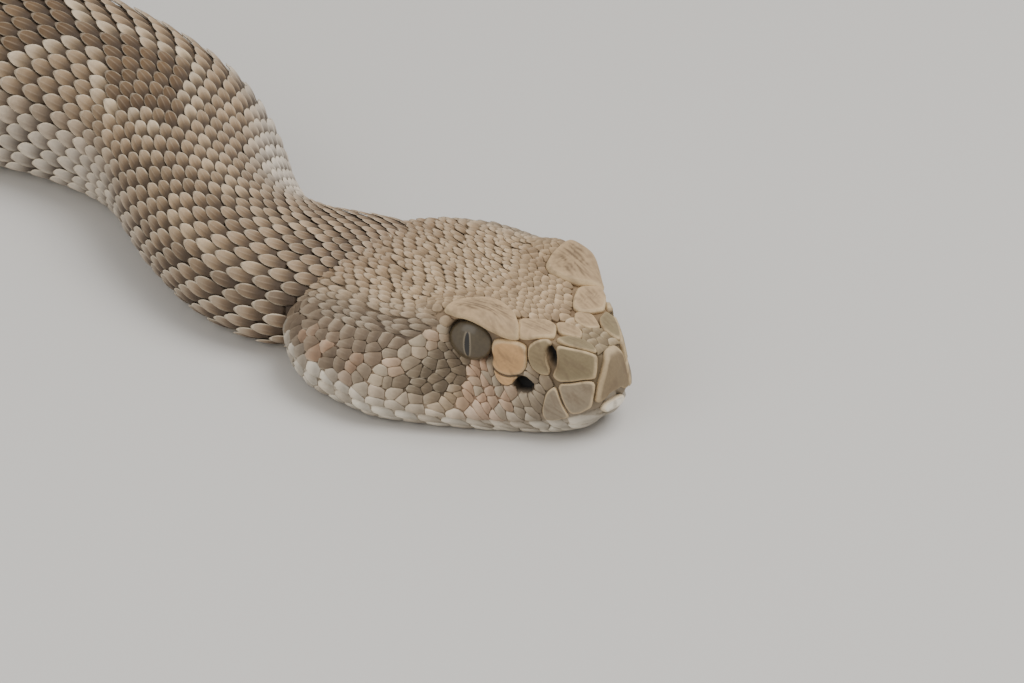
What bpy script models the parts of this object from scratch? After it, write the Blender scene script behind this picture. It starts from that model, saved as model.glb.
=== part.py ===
"""Western diamondback rattlesnake, life size, resting flat on the floor with its head low.

All sizes below are millimetres. The head frame has X forward with the snout tip at 0,
Y to the animal's left and Z up from the floor. The body follows one centre line, which
starts at the nape and is laid out by legs, each a length and the turn made along it.
"""

import math

import bmesh
import bpy
import numpy as np
from mathutils import Vector

MM = 0.001
GAP = 0.3

# The pose: where the snout is, how the head is turned, and where the neck leaves the head
HEAD_YAW = math.radians(-43)
NAPE = (-36.0, 2.0)
FOOT_CENTRE = (-54.8, 252.3)

# Legs of the centre line from the nape to the end of the tail: length, turn in degrees
LEGS = (
    (10, 38),
    (4, 0),
    (17, -60),
    (15, -10),
    (24, 36),
    (24, 24),
    (206, -183),
    (250, 222),
    (190, -224),
    (235, 178),
)
ROUTE_STEP = 0.5
# How far a turn is gathered towards the middle of its leg
TURN_EASE = 0.3

# Head stations from the snout back to the nape
STATION = (0.0, -0.8, -2.5, -6.0, -10.0, -15.0, -20.0, -27.0, -34.0, -40.0, -44.0, -47.5, -50.0)
CROWN_Z = (12.6, 13.4, 13.9, 14.3, 14.9, 15.8, 16.0, 15.5, 14.8, 14.0, 13.2, 11.6, 8.5)
RIDGE_Y = (1.5, 2.3, 3.6, 5.8, 8.0, 11.2, 12.2, 12.4, 12.2, 11.0, 9.2, 7.0, 4.0)
RIDGE_Z = (12.1, 13.0, 13.7, 14.4, 15.3, 17.0, 16.6, 14.4, 13.4, 12.6, 11.6, 9.8, 7.5)
CHEEK_Y = (2.1, 3.3, 4.6, 6.3, 8.6, 11.3, 14.6, 18.6, 19.2, 17.4, 14.4, 10.5, 6.0)
CHEEK_Z = (9.2, 9.8, 10.0, 10.0, 10.0, 10.2, 10.2, 10.0, 9.6, 9.2, 8.6, 7.6, 6.0)
LIP_Y = (2.7, 4.1, 5.8, 7.8, 10.3, 14.0, 17.3, 20.8, 21.2, 19.4, 16.6, 12.6, 7.0)
LIP_Z = (6.0, 5.8, 5.2, 4.2, 3.6, 3.6, 4.0, 4.8, 5.6, 5.8, 5.4, 5.0, 4.5)
JAW_Y = (1.5, 2.5, 4.5, 6.6, 9.2, 12.9, 16.2, 19.6, 20.0, 18.2, 15.4, 11.6, 6.0)
JAW_Z = (4.8, 4.0, 2.8, 1.9, 1.6, 1.6, 1.6, 1.8, 2.0, 2.0, 2.0, 2.2, 3.0)
CHIN_Y = (0.8, 1.4, 2.8, 4.8, 7.0, 10.4, 13.2, 16.0, 16.2, 14.4, 12.0, 8.6, 4.0)
CHIN_Z = (4.6, 3.6, 2.0, 0.7, 0.1, 0.0, 0.0, 0.0, 0.0, 0.0, 0.0, 0.4, 2.4)

# Rows of the head outline, from the middle of the crown round to the middle of the chin
CREST, FOREHEAD, RIDGE, CHEEK, LIP, JAW, CHIN, THROAT = range(8)
HEAD_SPAN_STEPS = (1, 2, 2, 3, 3, 1, 1)
SNOUT_RINGS = (0.0, -0.4, -0.8, -1.6)
HEAD_RINGS_FROM = -2.5
HEAD_RING_GAP = 2.0

# The mouth runs this far under the widest line of the lip
MOUTH_DROP = 1.2
MOUTH_WIDE = 30.0

# Body girth by distance from the nape: half width and height
GIRTH_AT = (0, 10, 17, 27, 42, 62, 85, 200, 380, 600, 760, 880, 905, 975)
HALF_WIDTH = (9.6, 11.6, 12.0, 11.0, 12.0, 13.2, 14.4, 16.6, 18.0, 17.6, 14.5, 10.6, 10.0, 6.6)
HEIGHT = (13.0, 14.5, 15.5, 17.5, 20.0, 22.0, 24.0, 27.0, 29.0, 28.5, 24.0, 17.5, 16.5, 11.5)
# Corners of the body's half outline as shares of its half width and height
BODY_CORNERS = ((0, 1), (0.48, 0.935), (0.86, 0.72), (1, 0.43), (0.88, 0.14), (0.58, 0), (0, 0))
BODY_SPAN_STEPS = (2, 2, 2, 2, 1, 1)

# Where the body is parted, from the nape to the vent and the end of the tail
NECK_END = 62.0
VENT = 900.0
TAIL_END = 975.0
TORSO_COUNT = 11
NECK_RING_GAP = 3.0
BODY_RING_GAP = 8.5
TAIL_RING_GAP = 6.0

# The large plates of each side of the head: name, station, row place, half length, half
# height in rows, rise over the skin, number of sides
HEAD_PLATES = (
    ("brow", -13.8, 1.7, 5.4, 0.5, 0.6, 10),
    ("canthal", -6.5, 1.5, 2.3, 0.48, 0.35, 8),
    ("internasal", -2.6, 1.2, 1.7, 0.62, 0.35, 8),
    ("prenasal", -3.2, 2.5, 1.4, 0.42, 0.35, 8),
    ("postnasal", -6.7, 2.48, 1.1, 0.4, 0.35, 8),
    ("preocular", -9.7, 2.42, 1.6, 0.42, 0.35, 8),
)
# The plate at the middle of the snout: half width and height, from its top down
ROSTRAL_EDGE = ((0.75, 12.9), (1.3, 10.6), (2.4, 7.2), (2.5, 5.4))

ROSTRAL_HEIGHT = 0.35
ROSTRAL_DEPTH = 2.2
# How deep a plate's root is sunk, and how its flat top and its rim share width and height
PLATE_ROOT = 1.0
PLATE_TOP = 0.8
PLATE_RIM = 0.4
LIP_PLATE_COUNT = 12
LIP_PLATE_SIDES = 4
LIP_PLATE_FIRST = -2.0
LIP_PLATE_STEP = 2.5
LIP_PLATE_HEIGHT = 0.25

EYE_RADIUS = 3.1
EYE_AT = (-14.9, 9.1, 13.4)
EYE_CLEARANCE = 0.3
# Centres of the heat pit and the nostril as station and row place, and their half sizes
PIT_AT = (-8.3, 3.15)
PIT_SIZE = (1.15, 1.9, 0.95)
NOSTRIL_AT = (-5.2, 2.48)
NOSTRIL_SIZE = (0.42, 1.5, 0.95)

RATTLE_COUNT = 9
RATTLE_PITCH = 4.6
RATTLE_BASE = (4.6, 6.2)
RATTLE_TIP = (2.9, 3.9)
RATTLE_SIDES = 12
# Where the rings of one segment lie along it, and how deep its side groove is
RATTLE_RING_SHARES = (0.0, 0.18, 0.45, 0.7, 0.9)
RATTLE_GROOVE = 0.16
RATTLE_LIFT = 0.6

COLOURS = {
    "scale": ((0.42, 0.33, 0.25), 0.75),
    "pale": ((0.66, 0.60, 0.53), 0.7),
    "eye": ((0.20, 0.18, 0.13), 0.2),
    "tail": ((0.55, 0.54, 0.52), 0.7),
    "rattle": ((0.50, 0.42, 0.30), 0.55),
}


def clear_scene():
    """Remove whatever the scene holds."""
    for item in list(bpy.data.objects):
        bpy.data.objects.remove(item, do_unlink=True)


def material(name):
    """Return the Principled material of this name."""
    found = bpy.data.materials.get(name)
    if found:
        return found
    colour, rough = COLOURS[name]
    made = bpy.data.materials.new(name)
    made.use_nodes = True
    shader = made.node_tree.nodes["Principled BSDF"]
    shader.inputs["Base Color"].default_value = (*colour, 1)
    shader.inputs["Roughness"].default_value = rough
    shader.inputs["Metallic"].default_value = 0
    return made


def collection(name):
    """Return the collection of this name, linked to the scene."""
    found = bpy.data.collections.get(name)
    if not found:
        found = bpy.data.collections.new(name)
        bpy.context.scene.collection.children.link(found)
    return found


def smooth_row(places, values, at):
    """Read a smooth curve through (places, values) at one place or many; places rise."""
    places = np.asarray(places, float)
    values = np.asarray(values, float)
    slope = np.diff(values) / np.diff(places)
    lean = np.concatenate([slope[:1], np.zeros(len(values) - 2), slope[-1:]])
    same = slope[1:] * slope[:-1] > 0
    total = np.where(same, slope[1:] + slope[:-1], 1)
    lean[1:-1] = np.where(same, 2 * slope[1:] * slope[:-1] / total, 0)
    span = np.clip(np.searchsorted(places, at) - 1, 0, len(places) - 2)
    width = places[span + 1] - places[span]
    t = np.clip((at - places[span]) / width, 0, 1)
    start = (2 * t**3 - 3 * t**2 + 1) * values[span] + (t**3 - 2 * t**2 + t) * width * lean[span]
    end = (3 * t**2 - 2 * t**3) * values[span + 1] + (t**3 - t**2) * width * lean[span + 1]
    return start + end


def outline_point(corners, place):
    """Return the point at a place, a row number with a fraction, on a half outline."""
    mirrored = np.vstack([corners[1] * (-1, 1), corners, corners[-2] * (-1, 1)])
    span = min(int(place), len(corners) - 2)
    t = place - span
    before, a, b, after = mirrored[span : span + 4]
    length = max(np.linalg.norm(b - a), 1e-6)
    lean_a = (b - before) / (np.linalg.norm(a - before) + length) * length
    lean_b = (after - a) / (np.linalg.norm(after - b) + length) * length
    start = (2 * t**3 - 3 * t**2 + 1) * a + (t**3 - 2 * t**2 + t) * lean_a
    end = (3 * t**2 - 2 * t**3) * b + (t**3 - t**2) * lean_b
    return start + end


def half_outline(corners, steps):
    """Return a half outline with so many steps in each span, its lowest point at the floor."""
    places = [row + k / count for row, count in enumerate(steps) for k in range(count)]
    points = [outline_point(corners, place) for place in places]
    points.append(corners[-1])
    points = np.array(points)
    points[:, 1] = np.maximum(points[:, 1], 0)
    return points


def full_ring(half):
    """Mirror a half outline into a closed ring of (side, height) points."""
    return np.vstack([half, (half * (-1, 1))[-2:0:-1]])


def head_corners(x, grow=0.0):
    """Return the eight rows of the head's half outline at a station, grown outwards."""
    place = -np.array(STATION)

    def read(row):
        return float(smooth_row(place, row, -x))

    crown = read(CROWN_Z)
    ridge_y = read(RIDGE_Y)
    ridge_z = read(RIDGE_Z)
    chin_z = read(CHIN_Z)
    corners = [
        (0, crown + grow),
        (ridge_y / 2, 0.6 * crown + 0.4 * ridge_z + grow),
        (ridge_y + grow, ridge_z + grow),
        (read(CHEEK_Y) + grow, read(CHEEK_Z)),
        (read(LIP_Y) + grow, read(LIP_Z)),
        (read(JAW_Y) + grow, read(JAW_Z)),
        (read(CHIN_Y) + grow, chin_z - grow),
        (0, chin_z - grow),
    ]
    return np.array(corners)


def from_head(points):
    """Turn head-frame points into the pose's own frame."""
    ahead = np.array([math.cos(HEAD_YAW), math.sin(HEAD_YAW)])
    left = np.array([-ahead[1], ahead[0]])
    points = np.asarray(points, float)
    flat = points[..., 0:1] * ahead + points[..., 1:2] * left
    return np.concatenate([flat, points[..., 2:3]], axis=-1)


def skin_point(x, place, side=1):
    """Return the head-frame point at a station and row place, on the left side for 1."""
    y, z = outline_point(head_corners(x), place)
    return np.array([x, side * y, z])


def skin_normal(x, place, side=1):
    """Return the outward direction of the head's skin at a station and row place."""
    along = skin_point(x + 0.3, place, side) - skin_point(x - 0.3, place, side)
    around = skin_point(x, place + 0.05, side) - skin_point(x, place - 0.05, side)
    outward = np.cross(along, around) * side
    return outward / max(np.linalg.norm(outward), 1e-9)


def head_rings(grow=0.0):
    """Return the head's rings from the snout to the nape, in the pose's frame."""
    count = int((HEAD_RINGS_FROM - STATION[-1]) / HEAD_RING_GAP)
    stations = list(SNOUT_RINGS) + list(np.linspace(HEAD_RINGS_FROM, STATION[-1], count))
    rings = []
    for x in stations:
        ring = full_ring(half_outline(head_corners(x, grow), HEAD_SPAN_STEPS))
        shift = grow if x > -1 else (-grow if x == stations[-1] else 0)
        rings.append(np.column_stack([np.full(len(ring), x + shift), ring]))
    return from_head(np.array(rings))


def centre_line():
    """Return points, headings in radians and distances along the body's centre line."""
    point = from_head((NAPE[0], NAPE[1], 0))[:2]
    heading = math.degrees(HEAD_YAW) + 180
    points, headings, distances = [point], [heading], [0.0]
    for length, turn in LEGS:
        count = round(length / ROUTE_STEP)
        for k in range(count):
            before, after = (turn * eased(t / count) for t in (k, k + 1))
            middle = math.radians(heading + (before + after) / 2)
            step = np.array([math.cos(middle), math.sin(middle)]) * length / count
            point = point + step
            points.append(point)
            headings.append(heading + after)
            distances.append(distances[-1] + length / count)
        heading += turn
    return np.array(points), np.radians(headings), np.array(distances)


def eased(t):
    """Return the share of a leg's turn made by the share t of its length."""
    return t - TURN_EASE * math.sin(2 * math.pi * t) / (2 * math.pi)


def body_half(distance):
    """Return the half outline of the body at a distance from the nape."""
    wide = float(smooth_row(GIRTH_AT, HALF_WIDTH, distance))
    high = float(smooth_row(GIRTH_AT, HEIGHT, distance))
    return half_outline(np.array(BODY_CORNERS) * (wide, high), BODY_SPAN_STEPS)


def body_rings(start, end, ring_gap):
    """Return rings of the body between two distances, square to the centre line."""
    points, headings, distances = centre_line()
    count = max(math.ceil((end - start) / ring_gap), 2)
    rings = []
    for distance in np.linspace(start, end, count + 1):
        x = np.interp(distance, distances, points[:, 0])
        y = np.interp(distance, distances, points[:, 1])
        heading = np.interp(distance, distances, headings)
        ring = full_ring(body_half(distance))
        across = np.array([-math.sin(heading), math.cos(heading)])
        flat = np.array([x, y]) - ring[:, 0:1] * across
        rings.append(np.column_stack([flat, ring[:, 1]]))
    return np.array(rings)


def loft(name, rings, finish, group="rattlesnake"):
    """Make a closed solid through rings of equal count, given in millimetres."""
    rings = np.array(rings) - (FOOT_CENTRE[0], FOOT_CENTRE[1], 0)
    shape = bmesh.new()
    rows = [[shape.verts.new(Vector(point) * MM) for point in ring] for ring in rings]
    for ring, after in zip(rows, rows[1:]):
        for k in range(len(ring)):
            nxt = (k + 1) % len(ring)
            shape.faces.new((ring[k], ring[nxt], after[nxt], after[k]))
    shape.faces.new(rows[0][::-1])
    shape.faces.new(rows[-1])
    bmesh.ops.recalc_face_normals(shape, faces=shape.faces)
    bmesh.ops.triangulate(shape, faces=shape.faces)
    return as_object(name, shape, finish, group)


def as_object(name, shape, finish, group="rattlesnake"):
    """Turn a bmesh into an object in a collection, shaded smooth."""
    mesh = bpy.data.meshes.new(name)
    shape.to_mesh(mesh)
    shape.free()
    mesh.materials.append(material(finish))
    mesh.shade_smooth()
    mesh.set_sharp_from_angle(angle=math.radians(40))
    made = bpy.data.objects.new(name, mesh)
    collection(group).objects.link(made)
    return made


def combine(target, operation, other, solver="EXACT"):
    """Apply one Boolean of an object or a collection to the target."""
    step = target.modifiers.new(operation.lower(), "BOOLEAN")
    step.operation = operation
    step.solver = solver
    if isinstance(other, bpy.types.Collection):
        step.operand_type = "COLLECTION"
        step.collection = other
    else:
        step.object = other
    bpy.context.view_layer.update()
    graph = bpy.context.evaluated_depsgraph_get()
    mesh = bpy.data.meshes.new_from_object(target.evaluated_get(graph))
    target.modifiers.remove(step)
    target.data = mesh


def discard(items):
    """Remove objects that have done their work."""
    for item in list(items):
        bpy.data.objects.remove(item, do_unlink=True)


def keep_largest(target):
    """Keep only the largest closed surface of an object's mesh."""
    shape = bmesh.new()
    shape.from_mesh(target.data)
    shape.verts.ensure_lookup_table()
    left = set(shape.verts)
    bodies = []
    while left:
        todo = [left.pop()]
        body = set(todo)
        while todo:
            for edge in todo.pop().link_edges:
                for vert in edge.verts:
                    if vert in left:
                        left.discard(vert)
                        body.add(vert)
                        todo.append(vert)
        bodies.append(body)
    bodies.sort(key=body_extent)
    loose = [vert for body in bodies[:-1] for vert in body]
    bmesh.ops.delete(shape, geom=loose, context="VERTS")
    bmesh.ops.remove_doubles(shape, verts=shape.verts, dist=2e-6)
    bmesh.ops.dissolve_degenerate(shape, edges=shape.edges, dist=2e-6)
    bmesh.ops.triangulate(shape, faces=shape.faces)
    shape.to_mesh(target.data)
    shape.free()


def body_extent(body):
    """Return the diagonal of a set of vertices, to tell the main body from scraps."""
    points = np.array([vert.co[:] for vert in body])
    return float(np.linalg.norm(points.max(axis=0) - points.min(axis=0)))


def plate(name, x, place, half_long, half_rows, height, sides, side):
    """Make one raised plate on the head, its root sunk in the skin."""
    root, rim, top = [], [], []
    for k in range(sides):
        angle = 2 * math.pi * (k + 0.5) / sides
        dx = math.cos(angle) * half_long
        dplace = math.sin(angle) * half_rows
        at = (x + dx, place + dplace, side)
        point, outward = skin_point(*at), skin_normal(*at)
        inner = skin_point(x + PLATE_TOP * dx, place + PLATE_TOP * dplace, side)
        root.append(point - outward * PLATE_ROOT)
        rim.append(point + outward * height * PLATE_RIM)
        top.append(inner + outward * height)
    rings = from_head(np.array([root, rim, top]))
    return loft(name, rings, "scale", "plates")


def head_plates(side):
    """Make the large plates of one side of the head and the rows along its lips."""
    for name, *sizes in HEAD_PLATES:
        plate(name, *sizes, side)
    sizes = (0.64 * LIP_PLATE_STEP, 0.46, LIP_PLATE_HEIGHT, LIP_PLATE_SIDES, side)
    for k in range(LIP_PLATE_COUNT):
        x = LIP_PLATE_FIRST - k * LIP_PLATE_STEP
        plate("upper_lip", x, LIP - 0.05, *sizes)
        if k > 1:
            plate("lower_lip", x, JAW - 0.1, *sizes)


def snout_plate():
    """Make the tall plate at the middle of the snout, with its sloping sides."""
    ring = list(ROSTRAL_EDGE) + [(-y, z) for y, z in reversed(ROSTRAL_EDGE)]
    middle = sum(z for _, z in ring) / len(ring)
    rings = []
    steps = ((-ROSTRAL_DEPTH, 1), (PLATE_RIM * ROSTRAL_HEIGHT, 1), (ROSTRAL_HEIGHT, PLATE_TOP))
    for x, share in steps:
        rings.append([(x, y * share, middle + (z - middle) * share) for y, z in ring])
    return loft("rostral", from_head(np.array(rings)), "scale", "plates")


def mouth_height(x):
    """Return the height of the line of the mouth at a station."""
    return float(smooth_row(-np.array(STATION), LIP_Z, -x)) - MOUTH_DROP


def mouth_block(name, grow=0.0):
    """Make the block that holds all of the head below the line of the mouth."""
    places = np.linspace(3.0, STATION[-1] - 3, 28)
    rings = []
    for side in (-MOUTH_WIDE, MOUTH_WIDE):
        upper = [(x, side, mouth_height(min(x, 0)) + grow) for x in places]
        lower = [(x, side, -5.0) for x in reversed(places)]
        rings.append(upper + lower)
    block = loft(name, from_head(np.array(rings)), "pale", "cutters")
    block.display_type = "WIRE"
    block.hide_render = True
    return block


def ball(name, centre, radii, finish, group):
    """Make an ellipsoid at a head-frame centre with head-frame radii."""
    shape = bmesh.new()
    bmesh.ops.create_uvsphere(shape, u_segments=16, v_segments=10, radius=1)
    points = np.array([vert.co[:] for vert in shape.verts]) * radii + centre
    moved = from_head(points) - (FOOT_CENTRE[0], FOOT_CENTRE[1], 0)
    for vert, point in zip(shape.verts, moved):
        vert.co = Vector(point) * MM
    return as_object(name, shape, finish, group)


def head_hollows():
    """Make the cutters for the eye sockets, the heat pits and the nostrils."""
    cutters = []
    for side in (1, -1):
        eye = np.array(EYE_AT) * (1, side, 1)
        socket = [EYE_RADIUS + EYE_CLEARANCE] * 3
        cutters.append(ball("socket", eye, socket, "pale", "cutters"))
        pit = skin_point(*PIT_AT, side)
        cutters.append(ball("pit", pit, PIT_SIZE, "pale", "cutters"))
        nostril = skin_point(*NOSTRIL_AT, side)
        cutters.append(ball("nostril", nostril, NOSTRIL_SIZE, "pale", "cutters"))
    return cutters


def build_head():
    """Make the upper head, the lower jaw and the two eyes."""
    whole = loft("head", head_rings(), "scale")
    for side in (1, -1):
        head_plates(side)
    snout_plate()
    plates = collection("plates")
    combine(whole, "UNION", plates)
    discard(plates.objects)
    keep_largest(whole)
    jaw = bpy.data.objects.new("lower_jaw", whole.data.copy())
    collection("rattlesnake").objects.link(jaw)
    jaw.data.materials.clear()
    jaw.data.materials.append(material("pale"))
    combine(jaw, "INTERSECT", mouth_block("below_mouth"))
    combine(whole, "DIFFERENCE", mouth_block("above_mouth", GAP))
    cutters = head_hollows()
    for cutter in cutters:
        combine(whole, "DIFFERENCE", cutter)
    discard(collection("cutters").objects)
    for made in (whole, jaw):
        keep_largest(made)
    for side, tag in ((1, "left"), (-1, "right")):
        eye = np.array(EYE_AT) * (1, side, 1)
        ball(f"eye_{tag}", eye, (EYE_RADIUS,) * 3, "eye", "rattlesnake")


def build_body():
    """Make the neck, the lengths of the torso and the tail."""
    neck = loft("neck", body_rings(0, NECK_END - GAP / 2, NECK_RING_GAP), "scale")
    clearance = loft("head_room", head_rings(GAP), "scale", "cutters")
    combine(neck, "DIFFERENCE", clearance)
    discard([clearance])
    keep_largest(neck)
    step = (VENT - NECK_END) / TORSO_COUNT
    for k in range(TORSO_COUNT):
        start = NECK_END + k * step + GAP / 2
        rings = body_rings(start, start + step - GAP, BODY_RING_GAP)
        loft(f"torso_{k + 1:02d}", rings, "scale")
    loft("tail", body_rings(VENT + GAP / 2, TAIL_END - GAP / 2, TAIL_RING_GAP), "tail")


def rattle_fullness(t):
    """Return how full the rattle is at a share t of one segment, from base to rim."""
    return 0.80 + 0.20 * math.sin(math.pi * min(t / 0.8, 1.0)) ** 0.6


def rattle_ring(along, fullness):
    """Return one ring of the rattle at a count of segments from its base."""
    taper = min(along / RATTLE_COUNT, 1)
    size = (np.array(RATTLE_BASE) + (np.array(RATTLE_TIP) - RATTLE_BASE) * taper) * fullness
    ring = []
    for k in range(RATTLE_SIDES):
        angle = 2 * math.pi * k / RATTLE_SIDES
        groove = 1 - RATTLE_GROOVE * math.cos(angle) ** 8
        side = size[0] * groove * math.cos(angle)
        up = RATTLE_BASE[1] + RATTLE_LIFT + size[1] * math.sin(angle)
        ring.append((GAP / 2 + along * RATTLE_PITCH, side, up))
    return ring


def build_rattle():
    """Make the string of rattle segments behind the end of the tail."""
    rings = []
    for k in range(RATTLE_COUNT):
        rings += [rattle_ring(k + t, rattle_fullness(t)) for t in RATTLE_RING_SHARES]
    rings.append(rattle_ring(RATTLE_COUNT, 0.5))
    rings = np.array(rings)
    points, headings, _ = centre_line()
    ahead = np.array([math.cos(headings[-1]), math.sin(headings[-1])])
    across = np.array([-ahead[1], ahead[0]])
    flat = points[-1] + rings[..., 0:1] * ahead + rings[..., 1:2] * across
    return loft("rattle", np.concatenate([flat, rings[..., 2:3]], axis=-1), "rattle")


def main():
    """Build the animal."""
    clear_scene()
    build_head()
    build_body()
    build_rattle()


main()
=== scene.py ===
"""The looks of a life-size western diamondback rattlesnake at rest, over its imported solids.

Lengths are millimetres in the pose frame of the solids until a mesh is made. The head
frame has X forward with the snout tip at 0, Y to the animal's left and Z up. A place on
a skin is (u, q): u runs tailwards, and q is the share of the half girth from the middle
of the back, 0, to the middle of the belly, 1, positive on the animal's left. The lowest
scales and the skin stay a hair over the floor.
"""

import logging
import math
from dataclasses import dataclass, field
from enum import Enum
from typing import Callable, Sequence

import bpy
import numpy as np
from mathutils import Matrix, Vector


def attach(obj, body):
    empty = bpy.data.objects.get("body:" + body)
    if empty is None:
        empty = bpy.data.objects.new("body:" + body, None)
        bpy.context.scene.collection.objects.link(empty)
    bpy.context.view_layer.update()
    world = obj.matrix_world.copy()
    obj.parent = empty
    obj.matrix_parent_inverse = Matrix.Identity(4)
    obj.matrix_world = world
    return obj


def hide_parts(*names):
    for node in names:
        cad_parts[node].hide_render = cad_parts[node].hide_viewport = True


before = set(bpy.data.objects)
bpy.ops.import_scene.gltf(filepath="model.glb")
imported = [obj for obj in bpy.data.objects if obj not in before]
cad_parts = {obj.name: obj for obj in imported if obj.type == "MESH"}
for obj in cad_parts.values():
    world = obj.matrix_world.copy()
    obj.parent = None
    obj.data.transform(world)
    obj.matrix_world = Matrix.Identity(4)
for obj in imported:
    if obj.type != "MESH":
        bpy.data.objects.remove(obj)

LOG = logging.getLogger("rattlesnake")
MM = 0.001
BODY = "root"
COAT_MAP = "OFBake"
COAT_PATCH = 0.003
LOWEST_SCALE = 0.02
LOWEST_SKIN = 0.05
TINY = 1e-9
FAR = 1e9

Array = np.ndarray
Generator = np.random.Generator
Material = bpy.types.Material
Socket = bpy.types.NodeSocket
Point = tuple[float, float, float]
Colour = tuple[float, float, float, int]


class Side(Enum):
    """The animal's own sides."""

    LEFT = 1
    RIGHT = -1


def smooth_row(places: Sequence[float], values: Sequence[float], at: Array) -> Array:
    """Read a smooth curve through points.

    Args:
        places: Where the values stand, rising.
        values: The values there.
        at: The places to read.

    Returns:
        The curve at those places.
    """
    places = np.asarray(places, float)
    values = np.asarray(values, float)
    slope = np.diff(values) / np.diff(places)
    lean = np.concatenate([slope[:1], np.zeros(len(values) - 2), slope[-1:]])
    same = slope[1:] * slope[:-1] > 0
    total = np.where(same, slope[1:] + slope[:-1], 1)
    lean[1:-1] = np.where(same, 2 * slope[1:] * slope[:-1] / total, 0)
    span = np.clip(np.searchsorted(places, at) - 1, 0, len(places) - 2)
    width = places[span + 1] - places[span]
    t = np.clip((at - places[span]) / width, 0, 1)
    start = (2 * t**3 - 3 * t**2 + 1) * values[span] + (t**3 - 2 * t**2 + t) * width * lean[span]
    end = (3 * t**2 - 2 * t**3) * values[span + 1] + (t**3 - t**2) * width * lean[span + 1]
    return start + end


def ease(low: float, high: float, value: Array) -> Array:
    """Return a smooth step from 0 at low to 1 at high."""
    t = np.clip((value - low) / (high - low), 0, 1)
    return t * t * (3 - 2 * t)


def bell(value: Array, width: float) -> Array:
    """Return a bell curve of this half width, 1 at 0."""
    return np.exp(-((value / width) ** 2))


def full_turn(count: int) -> Array:
    """Return so many even angles round a full turn."""
    return np.linspace(0, 2 * np.pi, count, endpoint=False)


def raised(points: Array, low: float) -> Array:
    """Return points with their last number, the height, at least this much."""
    return np.concatenate([points[..., :-1], np.maximum(points[..., -1:], low)], axis=-1)


def arc_lengths(lines: Array) -> Array:
    """Return how far along its line every point stands, for lines of (..., points, numbers)."""
    steps = np.linalg.norm(np.diff(lines, axis=-2), axis=-1)
    return np.concatenate([np.zeros((*steps.shape[:-1], 1)), np.cumsum(steps, axis=-1)], axis=-1)


def read_grid(grid: Array, row: Array, column: Array) -> Array:
    """Read a grid between its rows and columns.

    Args:
        grid: The values, (rows, columns, numbers).
        row: Row numbers with a fraction.
        column: Column numbers with a fraction.

    Returns:
        The numbers there, on the last axis.
    """
    row, column = (np.clip(at, 0, size - 1.001) for at, size in zip((row, column), grid.shape))
    i, j = row.astype(int), column.astype(int)
    f, g = (row - i)[..., None], (column - j)[..., None]
    near = grid[i, j] * (1 - g) + grid[i, j + 1] * g
    far = grid[i + 1, j] * (1 - g) + grid[i + 1, j + 1] * g
    return near * (1 - f) + far * f


def outlines(corners: Array, places: Array) -> Array:
    """Read rounded half outlines.

    Args:
        corners: Rows of corners, (count, rows, 2) as side and height.
        places: Row numbers with a fraction.

    Returns:
        Points, (count, places, 2).
    """
    flip = np.array((-1, 1))
    padded = np.concatenate([corners[:, 1:2] * flip, corners, corners[:, -2:-1] * flip], axis=1)
    span = np.minimum(places.astype(int), corners.shape[1] - 2)
    t = (places - span)[None, :, None]
    before, a, b, after = (padded[:, span + k] for k in range(4))
    length = np.maximum(reach(b - a), 1e-6)
    lean_a = (b - before) / (reach(a - before) + length) * length
    lean_b = (after - a) / (reach(after - b) + length) * length
    start = (2 * t**3 - 3 * t**2 + 1) * a + (t**3 - 2 * t**2 + t) * lean_a
    return start + (3 * t**2 - 2 * t**3) * b + (t**3 - t**2) * lean_b


def reach(vectors: Array) -> Array:
    """Return the lengths of vectors, keeping their last axis."""
    return np.linalg.norm(vectors, axis=-1, keepdims=True)


def cross(a: Array, b: Array) -> Array:
    """Return the cross product of flat vectors."""
    return a[..., 0] * b[..., 1] - a[..., 1] * b[..., 0]


@dataclass
class Chart:
    """A skin as a grid of points and outward directions, read at any (u, q)."""

    step: float
    points: Array
    normals: Array
    half_girth: Array

    @classmethod
    def loft(cls, step: float, origins: Array, lefts: Array, halves: Array, sloping: bool) -> "Chart":
        """Make a chart from half outlines set along a line.

        Args:
            step: The distance between outlines.
            origins: The middle of each outline on the floor, (count, 2).
            lefts: The direction of the animal's left at each, (count, 2).
            halves: Half outlines, (count, places, 2), from the back to the belly.
            sloping: Whether the outward directions follow the taper too.

        Returns:
            The chart.
        """
        arc = arc_lengths(halves)
        share = np.linspace(0, 1, halves.shape[1])
        even = [[np.interp(share * a[-1], a, h[:, k]) for k in (0, 1)] for a, h in zip(arc, halves)]
        even = np.array(even).transpose(0, 2, 1)
        ring = np.concatenate([even[:, :0:-1] * (-1, 1), even], axis=1)
        flat = origins[:, None] + ring[..., 0:1] * lefts[:, None]
        points = np.concatenate([flat, ring[..., 1:2]], axis=2)
        around = np.gradient(points, axis=1)
        ahead = np.column_stack([lefts[:, 1], -lefts[:, 0], np.zeros(len(lefts))])
        along = -np.gradient(points, axis=0) if sloping else np.broadcast_to(ahead[:, None], points.shape)
        normals = np.cross(along, around)
        normals /= np.maximum(reach(normals), TINY)
        return cls(step, points, normals, arc[:, -1])

    def read(self, u: Array, q: Array) -> tuple[Array, Array]:
        """Read the skin.

        Args:
            u: Distances along it.
            q: Shares of the half girth.

        Returns:
            Points and outward directions.
        """
        row = np.asarray(u) / self.step
        column = np.clip((np.asarray(q) + 1) / 2, 0, 1) * (self.points.shape[1] - 1.001)
        points, normals = (read_grid(grid, row, column) for grid in (self.points, self.normals))
        return points, normals / np.maximum(reach(normals), TINY)

    def girth(self, u: Array) -> Array:
        """Return the half girth at distances u."""
        return np.interp(u, np.arange(len(self.half_girth)) * self.step, self.half_girth)


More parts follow.
